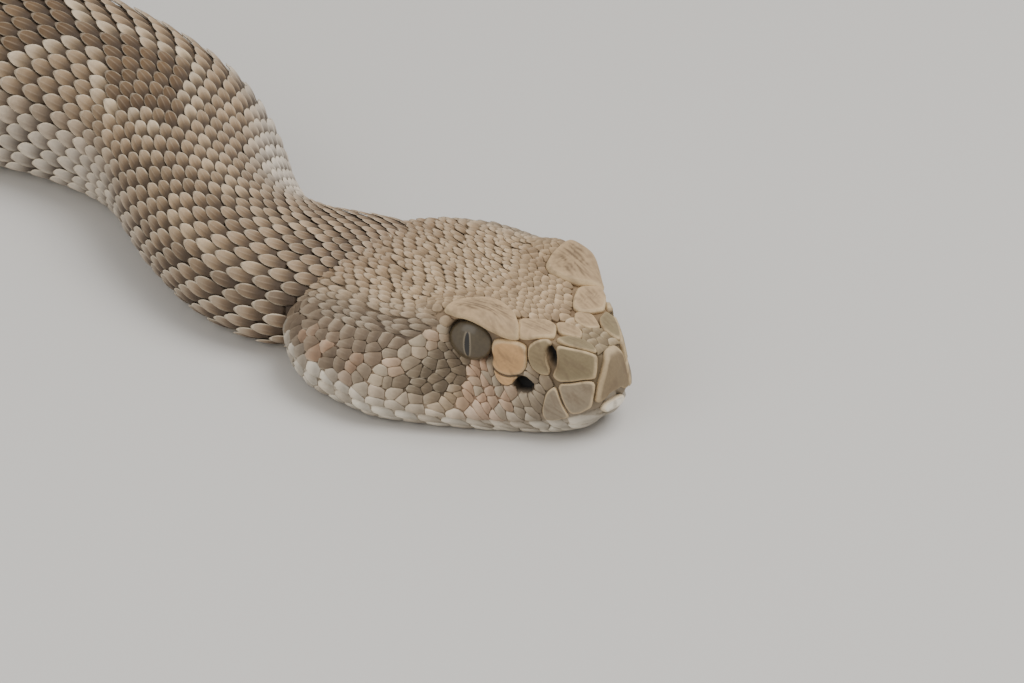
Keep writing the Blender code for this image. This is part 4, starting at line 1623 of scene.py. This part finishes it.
    def cells(self, seeds: Seeds, directions: int, gap: float) -> Array:
        """Return how far each small scale reaches in every direction.

        Args:
            seeds: The seeds of both sides.
            directions: How many directions.
            gap: Half the gap between neighbours.

        Returns:
            Lengths, (count, directions).
        """
        place = np.column_stack([seeds.u, seeds.v])
        turn = full_turn(directions)
        ways = np.column_stack([np.cos(turn), np.sin(turn)])
        fences = [fence * (1, side.value) for fence in self.fences() for side in Side]
        starts = np.vstack([fence[:-1] for fence in fences])
        edges = np.vstack([np.diff(fence, axis=0) for fence in fences])
        spread = cross(ways[:, None], edges[None])
        reached = np.empty((len(place), directions))
        overlapped = seeds.is_kind(Kind.NAPE)
        for k in range(0, len(place), 200):
            part = place[k : k + 200]
            offset = place[None] - part[:, None]
            square = (offset**2).sum(axis=2)
            square[square < TINY] = FAR
            near = np.argsort(square, axis=1)[:, : self.neighbours]
            step = np.take_along_axis(offset, near[..., None], axis=1)
            ahead = np.maximum(step @ ways.T, 1e-6)
            share_of_gap = np.where(overlapped[near], 0.72, 0.5)[..., None]
            halfway = ((step**2).sum(axis=2, keepdims=True) / ahead * share_of_gap).min(axis=1)
            apart = starts[None] - part[:, None]
            with np.errstate(divide="ignore", invalid="ignore"):
                length = cross(apart, edges[None])[:, None] / spread[None]
                share = cross(apart[:, None], ways[None, :, None]) / spread[None]
            hit = (share >= 0) & (share <= 1) & (length > 0)
            wall = np.where(hit, length, FAR).min(axis=2)
            reached[k : k + 200] = np.minimum(halfway, wall)
        oval = np.hypot(np.cos(turn)[None] / seeds.length[:, None], np.sin(turn)[None] / seeds.width[:, None])
        return np.clip(np.minimum(reached, 0.95 / oval) - gap, 0.06, None)


@dataclass(frozen=True)
class CellForm:
    """The height of a cell from its middle, share 0, to its rim, share 1."""

    shares: tuple
    sunk: float = -0.42

    def heights(self, rise: Array, dome: Array, edge: Array) -> list[Array]:
        """Return each ring's height, given the height of the edge, the dome and the raised rim."""
        found = [np.full(rise.shape, self.sunk)]
        for share in np.array(self.shares[1:]):
            height = rise * (1 - ease(0.88, 1.04, share))
            found.append(height + edge * bell(share - 0.86, 0.08) + dome * (1 - share**2))
        return found


@dataclass
class HeadCoat:
    """The plates and small scales of the head."""

    form: HeadForm
    neck: BodyForm
    marks: HeadMarks
    hollows: Hollows
    map: HeadScaleMap
    seed: int = 23
    hidden_from: float = 0.7
    directions: int = 14
    plate_points: int = 96
    gap: float = 0.02
    small_cell: CellForm = CellForm((1.0, 0.99, 0.93, 0.66, 0.3))
    plate_cell: CellForm = CellForm(
        (1.0, 0.995, 0.96, 0.92, 0.88, 0.84, 0.78, 0.7, 0.6, 0.5, 0.4, 0.3, 0.2, 0.1)
    )
    leaf: LeafForm = LeafForm(along=8, across=7, root_height=-0.5, tip_height=0.3, dome=0.16, keel=0.16)

    def read(self, u: Array, v: Array) -> tuple[Array, Array]:
        """Return points and outward directions at places (u, v)."""
        return self.form.chart.read(u, v / self.form.chart.girth(u))

    def lift(self, at: Array, height: Array) -> Array:
        """Return points over places (u, v), at a height over the head's outer form."""
        points, normals = self.read(at[..., 0], at[..., 1])
        height = height - self.hollows.sink(self.form, at[..., 0], at[..., 1])
        return raised(points + normals * np.broadcast_to(height, at.shape[:-1])[..., None], LOWEST_SCALE)

    @staticmethod
    def home(u: Array, v: Array) -> Array:
        """Return where places (u, v) stand on the head's coat map."""
        return np.column_stack([0.01 + u / 51, 0.5 + 0.48 * v / 50])

    def raise_cells(
        self, pile: MeshPile, form: CellForm,
        middle: Array, rims: Array, heights: Array, luck: Array, tint: Array,
    ) -> None:
        """Add closed cells, each a rim in (u, v) raised to a low form.

        Args:
            pile: The piece.
            form: The cells' form.
            middle: Middles, (count, 2).
            rims: Rims, (count, directions, 2).
            heights: The edge's height, the dome, the raised rim and the keel, (count, 4).
            luck: A random number each.
            tint: Linear colours and paleness of the tip, (count, net, 4) or (count, 1, 4).
        """
        count = len(rims)
        rise, dome, edge, keel = (heights[:, k : k + 1] for k in range(4))
        spread = rims - middle[:, None]
        reach_u = np.abs(spread[..., 0]).max(axis=1)[:, None]
        reach_v = np.abs(spread[..., 1]).max(axis=1)[:, None]
        layers, grains = [], []
        for share, height in zip(form.shares, form.heights(rise, dome, edge)):
            lean = spread[..., 0] * share / reach_u
            across = np.abs(spread[..., 1]) * share / reach_v
            height = height + keel * (0.1 * lean + 0.1 * bell(across, 0.3) * (share < 0.95))
            layers.append(self.lift(middle[:, None] + spread * share, height))
            luck_around = np.broadcast_to(luck[:, None], lean.shape)
            grains.append(np.stack([0.5 + 0.5 * lean, across, luck_around], -1))
        layers.append(self.lift(middle[:, None], np.full((count, 1), -0.6)))
        layers.append(self.lift(middle[:, None], rise + dome + 0.1 * keel))
        flat = np.stack([np.full(count, 0.5), np.zeros(count), luck], -1)[:, None]
        grains += [flat, flat]
        home = self.home(middle[:, 0], middle[:, 1])
        patch = [spread * share / (2 * reach_u[..., None]) for share in form.shares]
        patch = np.concatenate([*patch, np.zeros((count, 2, 2))], axis=1) * COAT_PATCH
        faces = tube_faces(len(form.shares), rims.shape[1], False)
        pile.add(np.concatenate(layers, 1), faces, tint, np.concatenate(grains, 1), home[:, None] + patch)

    def build(self, finishes: dict[str, Material]) -> None:
        """Make the small scales and the plates of the head."""
        rng = np.random.default_rng(self.seed)
        seeds = self.map.both_sides(self.map.seeds(rng), rng)
        radii = self.map.cells(seeds, self.directions, self.gap)
        luck = rng.random(len(seeds.u))
        shown = self.neck.depth(self.read(seeds.u, seeds.v)[0]) < self.hidden_from
        leafy = seeds.is_kind(Kind.NAPE)
        for side in Side:
            here = (seeds.v >= 0 if side is Side.LEFT else seeds.v < 0) & shown
            pile = MeshPile()
            self.add_small(pile, seeds.pick(here & ~leafy), radii[here & ~leafy], luck[here & ~leafy])
            self.add_leaves(pile, seeds.pick(here & leafy), luck[here & leafy])
            name = f"head_scales_{side.name.lower()}"
            pile.build(name, self.form.pose, finishes["head"], "scale", True)
        self.build_plates(rng, finishes["plate"])

    def add_small(self, pile: MeshPile, seeds: Seeds, radii: Array, luck: Array) -> None:
        """Add flat and domed small scales to a pile."""
        turn = full_turn(self.directions)
        keel = 0.6 * seeds.is_kind(Kind.CROWN) + 0.8 * seeds.is_kind(Kind.CHEEK) * ease(24, 36, seeds.u)
        stretch = 1 + 0.25 * keel[:, None] * np.maximum(np.cos(turn), 0)[None] ** 2
        middle = np.column_stack([seeds.u, seeds.v])
        ways = np.stack([np.cos(turn), np.sin(turn)], -1)
        rims = middle[:, None] + ways[None] * (radii * stretch)[..., None]
        size = radii.mean(axis=1)
        ahead = 1 - 0.7 * seeds.is_kind(Kind.CROWN) * ease(17, 10, seeds.u)
        ahead = ahead * (1 - 0.5 * seeds.is_kind(Kind.CHEEK, Kind.EYE_RING, Kind.LIP))
        rise = (np.clip(0.12 * size, 0.02, 0.12) + 0.05 * (luck - 0.5)) * ahead
        dome = np.clip(0.13 * size, 0.03, 0.15) * ahead
        tint = self.marks.tint(seeds.u, seeds.v, luck)[:, None]
        heights = np.column_stack([rise, dome, 0 * rise, keel])
        self.raise_cells(pile, self.small_cell, middle, rims, heights, luck, tint)

    def add_leaves(self, pile: MeshPile, seeds: Seeds, luck: Array) -> None:
        """Add the overlapping keeled scales of the nape and temples to a pile."""
        at = np.column_stack([seeds.u + 0.15 * seeds.length, seeds.v])
        high = np.interp(seeds.u, (18, 24, 46), (0.5, 0.85, 1.1)) * np.where(np.abs(seeds.v) > 12, 0.85, 1)
        size = np.column_stack([seeds.length * 1.5, seeds.width * 0.55, high])
        tint = self.marks.tint(seeds.u, seeds.v, luck)
        tint[:, 3] = np.clip(tint[:, 3] + 0.25, 0, 1)
        lay_leaves(pile, self.leaf, self.read, at, size, tint, luck, self.home(seeds.u, seeds.v))

    def build_plates(self, rng: Generator, finish: Material) -> None:
        """Make the large plates of both sides, and the plates of the snout's tip."""
        pile = MeshPile()
        for plate, outline in self.map.plate_outlines():
            for side in Side:
                rim = rounded(outline, self.plate_points) * (1, side.value)
                middle = middle_of(rim)
                inward = reach(rim - middle)
                rim = middle + (rim - middle) * (1 - self.gap / np.maximum(inward, 0.1))
                rim = counter_clockwise(rim)
                luck = rng.random(1)
                tint = self.plate_tint(plate, middle, rim, luck)
                heights = np.array([[plate.rise, plate.dome, plate.edge, 0.0]])
                self.raise_cells(pile, self.plate_cell, middle[None], rim[None], heights, luck, tint)
        for outline, tone in self.snout_outlines():
            self.add_snout_plate(pile, outline, tone)
        pile.build("head_plates", self.form.pose, finish, "scale", True)

    def plate_tint(self, plate: Plate, middle: Array, rim: Array, luck: Array) -> Array:
        """Return the colour of every point of a plate, (1, net, 4)."""
        shares = np.array(self.plate_cell.shares)[:, None]
        at = middle + (rim - middle)[None] * shares[..., None]
        at = np.concatenate([at.reshape(-1, 2), np.broadcast_to(middle, (2, 2))])
        share = np.concatenate([np.broadcast_to(shares, (len(shares), len(rim))).ravel(), (0, 0)])
        u, v = at[:, 0], np.abs(at[:, 1])
        streak = ease(-0.3, 0.7, ripple(u * 0.7 + 1.1 * v, 7.5 * v - 2.2 * u, 0.7))
        centre = 1 - ease(0.5, 0.92, share)
        tint = painted(
            self.marks.tint(u, v, luck)[:, :3],
            (plate.tone, 0.8),
            (Tone.STREAK, (0.2 + 0.8 * streak) * centre * plate.streaks * 0.85),
            (Tone.PLATE_EDGE, ease(0.82, 0.95, share) * 0.75),
            # Painted shade round the nostril.
            (Tone.STAIN, self.hollows.stain(u, v)),
            # Near-black painted shade inside the nostril.
            (Tone.PIT, self.hollows.nostril.share(u, v) * 0.95),
            (Tone.SMUDGE, 0.35 * ease(0.1, 0.8, ripple(2.1 * u, 2.3 * v, 1.9))),
        )
        return np.concatenate([tint, np.zeros((len(tint), 1))], axis=1)[None]

    @staticmethod
    def snout_outlines() -> list[tuple[Array, Tone]]:
        """Return the plates at the tip of the snout, as (side, height) seen from in front."""
        rostral = ((0.9, 13.35), (1.55, 12.4), (2.1, 10.6), (2.75, 8.4), (3.2, 6.5), (2.2, 6.4), (1.2, 7.2))
        mental = ((0.9, 5.9), (1.8, 5.7), (2.2, 5.1), (1.3, 4.2))
        halves = ((np.array(rostral), Tone.ROSTRAL), (np.array(mental), Tone.LIP))
        return [(np.vstack([half, half[::-1] * (-1, 1)]), tone) for half, tone in halves]

    def add_snout_plate(self, pile: MeshPile, outline: Array, tone: Tone) -> None:
        """Add one plate of the snout's tip, from its outline seen from in front."""
        rim = counter_clockwise(rounded(outline, self.plate_points))
        middle = middle_of(rim)
        shares = self.plate_cell.shares
        heights = self.plate_cell.heights(np.array(0.26), np.array(0.05), np.array(0.05))
        layers, tints = [], []
        for share, height in zip(np.array(shares), heights):
            at = middle + (rim - middle) * share
            layers.append(self.snout_point(at, float(height)))
            wave = 0.4 * ease(0, 0.9, ripple(2.2 * at[:, 0] + 3, 1.1 * at[:, 1], 0.9))
            edge = 0.6 * ease(0.82, 0.95, share)
            tints.append(painted(tone.linear(), (Tone.SMUDGE, wave), (Tone.PLATE_EDGE, edge)))
        layers += [self.snout_point(middle[None], height) for height in (-0.7, 0.29)]
        tints.append(np.broadcast_to(tone.linear(), (2, 3)))
        tint = np.concatenate(tints)
        tint = np.column_stack([tint, np.zeros(len(tint))])[None]
        faces = tube_faces(len(shares), len(rim), False)
        home = np.array([0.005, 0.5 + 0.002 * middle[1]])
        patch = np.concatenate([(rim - middle) * share for share in shares] + [np.zeros((2, 2))]) / 8
        grain = np.broadcast_to((0.5, 0.3, 0.5), (1, len(tint[0]), 3))
        pile.add(np.concatenate(layers)[None], faces, tint, grain, (home + patch * COAT_PATCH)[None])

    def snout_point(self, at: Array, height: float) -> Array:
        """Return points over the snout's front at (side, height) places."""
        back = self.form.front(at[:, 0], at[:, 1])
        bulge = 0.35 * (1 - ease(0.0, 3.0, np.hypot(at[:, 0], (at[:, 1] - 9.5) / 1.6)))
        return self.form.pose.from_head(np.column_stack([-back + height + bulge, at[:, 0], at[:, 1]]))


@dataclass
class Skin:
    """The one skin of head, body and tail, which lies just inside the outer form."""

    head: HeadForm
    body: BodyForm
    hollows: Hollows
    head_marks: HeadMarks
    body_marks: BodyMarks
    inset: float = 0.38
    head_step: float = 0.35
    head_columns: int = 150
    body_step: float = 1.5
    body_columns: int = 56

    def build(self, finish: Material) -> bpy.types.Object:
        """Make the skin."""
        pile = MeshPile()
        self.add_head(pile)
        self.add_body(pile)
        return pile.build("skin", self.head.pose, finish, "scale", False)

    @staticmethod
    def grid(end: float, step: float, columns: int) -> list[Array]:
        """Return even places (u, q) from 0 to the end, (rings, columns) each."""
        q = np.linspace(-1, 1, columns, endpoint=False)
        return np.meshgrid(np.arange(0, end + 0.01, step), q, indexing="ij")

    def add_head(self, pile: MeshPile) -> None:
        """Add the head's shell, with its hollows, from the snout to the nape."""
        grid_u, grid_q = self.grid(self.head.station[-1], self.head_step, self.head_columns)
        v = grid_q * self.head.chart.girth(grid_u)
        points, normals = self.head.chart.read(grid_u, grid_q)
        cheek = ease(11, 13, np.abs(v)) * ease(46, 40, grid_u)
        sink = self.inset - 0.16 * cheek + self.hollows.sink(self.head, grid_u, v)
        points = raised(points - normals * sink[..., None], LOWEST_SKIN)
        tint = self.head_marks.tint(grid_u, v, np.array(0.5))
        tint[..., :3] *= 1 + np.maximum(1.2 * ease(20, 12, grid_u), 1.6 * cheek)[..., None]
        # Painted shade: the skin in the heat pits and nostrils is near black.
        pit = np.maximum(self.hollows.pit.share(grid_u, v), self.hollows.nostril.share(grid_u, v))
        tint[..., :3] = painted(tint[..., :3], (Tone.PIT, pit))
        pile.add_tube(points, tint, np.zeros(3), False)

    def add_body(self, pile: MeshPile) -> None:
        """Add the body's shell, from inside the head to the end of the tail."""
        grid_u, grid_q = self.grid(self.body.tail_end, self.body_step, self.body_columns)
        points, normals = self.body.chart.read(grid_u, grid_q)
        points = raised(points - normals * self.inset, LOWEST_SKIN)
        tint = self.body_marks.tint(grid_u, grid_q, np.array(0.5))
        pile.add_tube(points, tint, np.zeros(3), False)


@dataclass(frozen=True)
class Eye:
    """One eyeball with its upright slit pupil, set flush in the side of the head."""

    pose: Pose
    side: Side
    centre: Point = (-15.2, 10.85, 13.3)
    facing: Point = (0.371, 0.928, 0.0)
    size: Point = (3.0, 1.5, 2.9)
    slit_height: float = 0.6
    slit_width: float = 0.1
    rim_at: float = 0.045
    rim_width: float = 0.035
    segments: int = 96
    rings: int = 64

    def build(self, finish: Material) -> None:
        """Make the eyeball."""
        tilt = np.linspace(0, np.pi, self.rings + 1)[1:-1]
        grid_tilt, grid_turn = np.meshgrid(tilt, full_turn(self.segments), indexing="ij")
        flat = np.sin(grid_tilt)
        ball = np.stack([flat * np.cos(grid_turn), np.cos(grid_tilt), flat * np.sin(grid_turn)], -1)
        ball = np.concatenate([ball.reshape(-1, 3), [(0, 1, 0), (0, -1, 0)]])
        out = np.array(self.facing)
        ahead = np.array([out[1], -out[0], 0])
        sized = ball * self.size
        points = sized[:, :1] * ahead + sized[:, 1:2] * out + sized[:, 2:] * (0, 0, 1) + self.centre
        points = points * (1, self.side.value, 1)
        faces = tube_faces(len(tilt), self.segments, self.side is Side.LEFT)
        pile = MeshPile()
        plain = np.full((1, 1, 4), 0.2)
        pile.add(self.pose.from_head(points)[None], faces, plain, self.grain(ball)[None], np.zeros((1, 1, 2)))
        side = self.side.name.lower()
        piece = pile.build(f"eyeball_{side}", self.pose, finish, "eye", False)
        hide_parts(f"eye_{side}")

    def grain(self, ball: Array) -> Array:
        """Return the distance out, the pupil and its pale rim for points of a unit ball."""
        out = np.arccos(np.clip(ball[:, 1], -1, 1)) / (np.pi / 2)
        half = self.slit_width * np.sqrt(np.clip(1 - (ball[:, 2] / self.slit_height) ** 2, 0, 1))
        across = np.abs(ball[:, 0])
        outward = ball[:, 1] > 0
        level = np.abs(ball[:, 2]) < self.slit_height * 1.05
        pupil = (1 - ease(0.0, 0.03, across - half)) * outward * (half > 0)
        rim = bell(across - half - self.rim_at, self.rim_width) * outward * level
        return np.column_stack([out, pupil, rim * 0.5])


def tube_faces(rows: int, columns: int, flipped: bool) -> list[Array]:
    """Return the faces of a tube of rings, closed by a point at either end.

    Args:
        rows: How many rings.
        columns: How many points in a ring.
        flipped: Whether the rings run the other way round.

    Returns:
        The four-sided faces and the triangles; the end points come last, the start's first.
    """
    number = np.arange(rows * columns).reshape(rows, columns)
    after = np.roll(number, -1, axis=1)
    walls = [number[:-1].ravel(), after[:-1].ravel(), after[1:].ravel(), number[1:].ravel()]
    start = np.column_stack([after[0], number[0], np.full(columns, rows * columns)])
    end = np.column_stack([number[-1], after[-1], np.full(columns, rows * columns + 1)])
    way = -1 if flipped else 1
    return [np.column_stack(walls)[:, ::way], np.vstack([start, end])[:, ::way]]


@dataclass(frozen=True)
class Rattle:
    """The string of horn segments behind the tail."""

    form: BodyForm
    count: int = 9
    pitch: float = 4.6
    base: tuple[float, float] = (4.6, 6.2)
    tip: tuple[float, float] = (2.9, 3.9)
    lift: float = 0.6
    groove: float = 0.16
    gap: float = 0.3
    sides: int = 40
    rings: int = 12

    def build(self, finish: Material) -> None:
        """Make the rattle."""
        along = np.linspace(0, self.count, self.count * self.rings + 1)
        share = along - np.floor(along - 1e-9)
        share[0] = 0
        full = 0.78 + 0.22 * ease(0.0, 0.2, share) - 0.07 * ease(0.35, 0.8, share)
        full = full - 0.15 * ease(0.84, 0.99, share)
        full[-3:] = (0.75, 0.55, 0.2)
        taper = along / self.count
        base, tip = np.array(self.base), np.array(self.tip)
        size = (base + (tip - base) * taper[:, None]) * full[:, None]
        turn = full_turn(self.sides)
        groove = 1 - self.groove * np.cos(turn) ** 8
        side = size[:, :1] * (groove * np.cos(turn))[None]
        up = base[1] + self.lift + size[:, 1:] * np.sin(turn)[None]
        heading = self.form.heading[-1]
        ahead = np.array([math.cos(heading), math.sin(heading)])
        across = np.array([-ahead[1], ahead[0]])
        reach_out = self.gap / 2 + along * self.pitch
        flat = self.form.line[-1] + reach_out[:, None, None] * ahead + side[..., None] * across
        points = np.concatenate([flat, up[..., None]], axis=-1)
        grain = np.stack(np.broadcast_arrays(share[:, None], np.abs(np.cos(turn))[None], 0.5), -1)
        pile = MeshPile()
        pile.add_tube(points, np.full(4, 0.3), grain, True)
        piece = pile.build("rattle_segments", self.form.pose, finish, "rattle", False)
        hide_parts("rattle")


@dataclass(frozen=True)
class Studio:
    """The floor, the soft light and the camera of the photograph's view."""

    pose: Pose
    elevation: float = 30.5
    lens: float = 201.7
    sensor: float = 36.0
    camera_at: Point = (-13.2, -639.9, 391.4)
    floor_size: float = 6.0

    def build(self) -> None:
        """Make the floor, the lights and the camera."""
        self.add_floor()
        self.add_light("key_light", (0.45, -0.1, 0.9), 0.7, 9.0)
        self.add_light("fill_light", (-0.6, -0.7, 0.6), 0.9, 4.0)
        world = bpy.data.worlds.new("soft_sky")
        bpy.context.scene.world = world
        world.use_nodes = True
        sky = world.node_tree.nodes["Background"]
        sky.inputs["Color"].default_value = (1.0, 0.985, 0.96, 1)
        sky.inputs["Strength"].default_value = 0.62
        self.add_camera()

    def add_floor(self) -> None:
        """Add the plain floor."""
        half = self.floor_size / 2
        mesh = bpy.data.meshes.new("floor")
        corners = [(-half, -half, 0), (half, -half, 0), (half, half, 0), (-half, half, 0)]
        mesh.from_pydata(corners, [], [(0, 1, 2, 3)])
        mesh.materials.append(FloorFinish().dress())
        floor = place_object("floor", mesh)

    def add_light(self, name: str, at: Point, size: float, power: float) -> None:
        """Add a soft square light, turned to the head."""
        light = bpy.data.lights.new(name, "AREA")
        light.size = size
        light.energy = power
        holder = place_object(name, light)
        head = self.pose.to_row(np.array([-20.0, 20.0, 8.0]))
        place = head + np.array(at)
        holder.location = place
        holder.rotation_euler = Vector(head - place).to_track_quat("-Z", "Y").to_euler()

    def add_camera(self) -> None:
        """Add the camera and make it the scene's."""
        camera = bpy.data.cameras.new("camera")
        camera.lens = self.lens
        camera.sensor_width = self.sensor
        camera.clip_start = 0.01
        camera.clip_end = 20
        holder = place_object("camera", camera)
        holder.location = self.pose.to_row(np.array(self.camera_at))
        holder.rotation_euler = (math.radians(90 - self.elevation), 0, 0)
        bpy.context.scene.camera = holder


def flesh_nodes() -> list[str]:
    """Return the names of the solids that the skin stands for."""
    separate = ("eye_left", "eye_right", "rattle")
    return [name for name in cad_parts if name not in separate]


def main() -> None:
    """Dress the animal and set it in its studio."""
    logging.basicConfig(level=logging.INFO, format="%(name)s %(message)s")
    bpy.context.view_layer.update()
    pose = Pose()
    head = HeadForm(pose)
    body = BodyForm(pose)
    hollows = Hollows()
    head_marks = HeadMarks(head)
    body_marks = BodyMarks(body)
    finishes = {
        "scale": ScaleFinish("body_scales").dress(),
        "tail": ScaleFinish("tail_scales", rim=0.3, root=0.4, keel=0.08, heart=0.0).dress(),
        "head": ScaleFinish("head_scales", rim=0.4, tip=0.6, root=0.42, keel=0.1, heart=0.15).dress(),
        "plate": ScaleFinish("head_plates", rim=0.0, tip=0.0, root=0.0, keel=0.0, heart=0.0).dress(),
        "belly": ScaleFinish("belly_scutes", rim=0.2, root=0.2, keel=0.0, heart=0.0).dress(),
    }
    skin = Skin(head, body, hollows, head_marks, body_marks).build(SkinFinish().dress())
    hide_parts(*flesh_nodes())
    coat = BodyCoat(body, head, body_marks)
    coat.build(finishes)
    coat.belly(finishes["belly"])
    HeadCoat(head, body, head_marks, hollows, HeadScaleMap(head, hollows)).build(finishes)
    eye_finish = EyeFinish().dress()
    for side in Side:
        Eye(pose, side).build(eye_finish)
    Rattle(body).build(HornFinish().dress())
    Studio(pose).build()


if __name__ == "__main__":
    main()
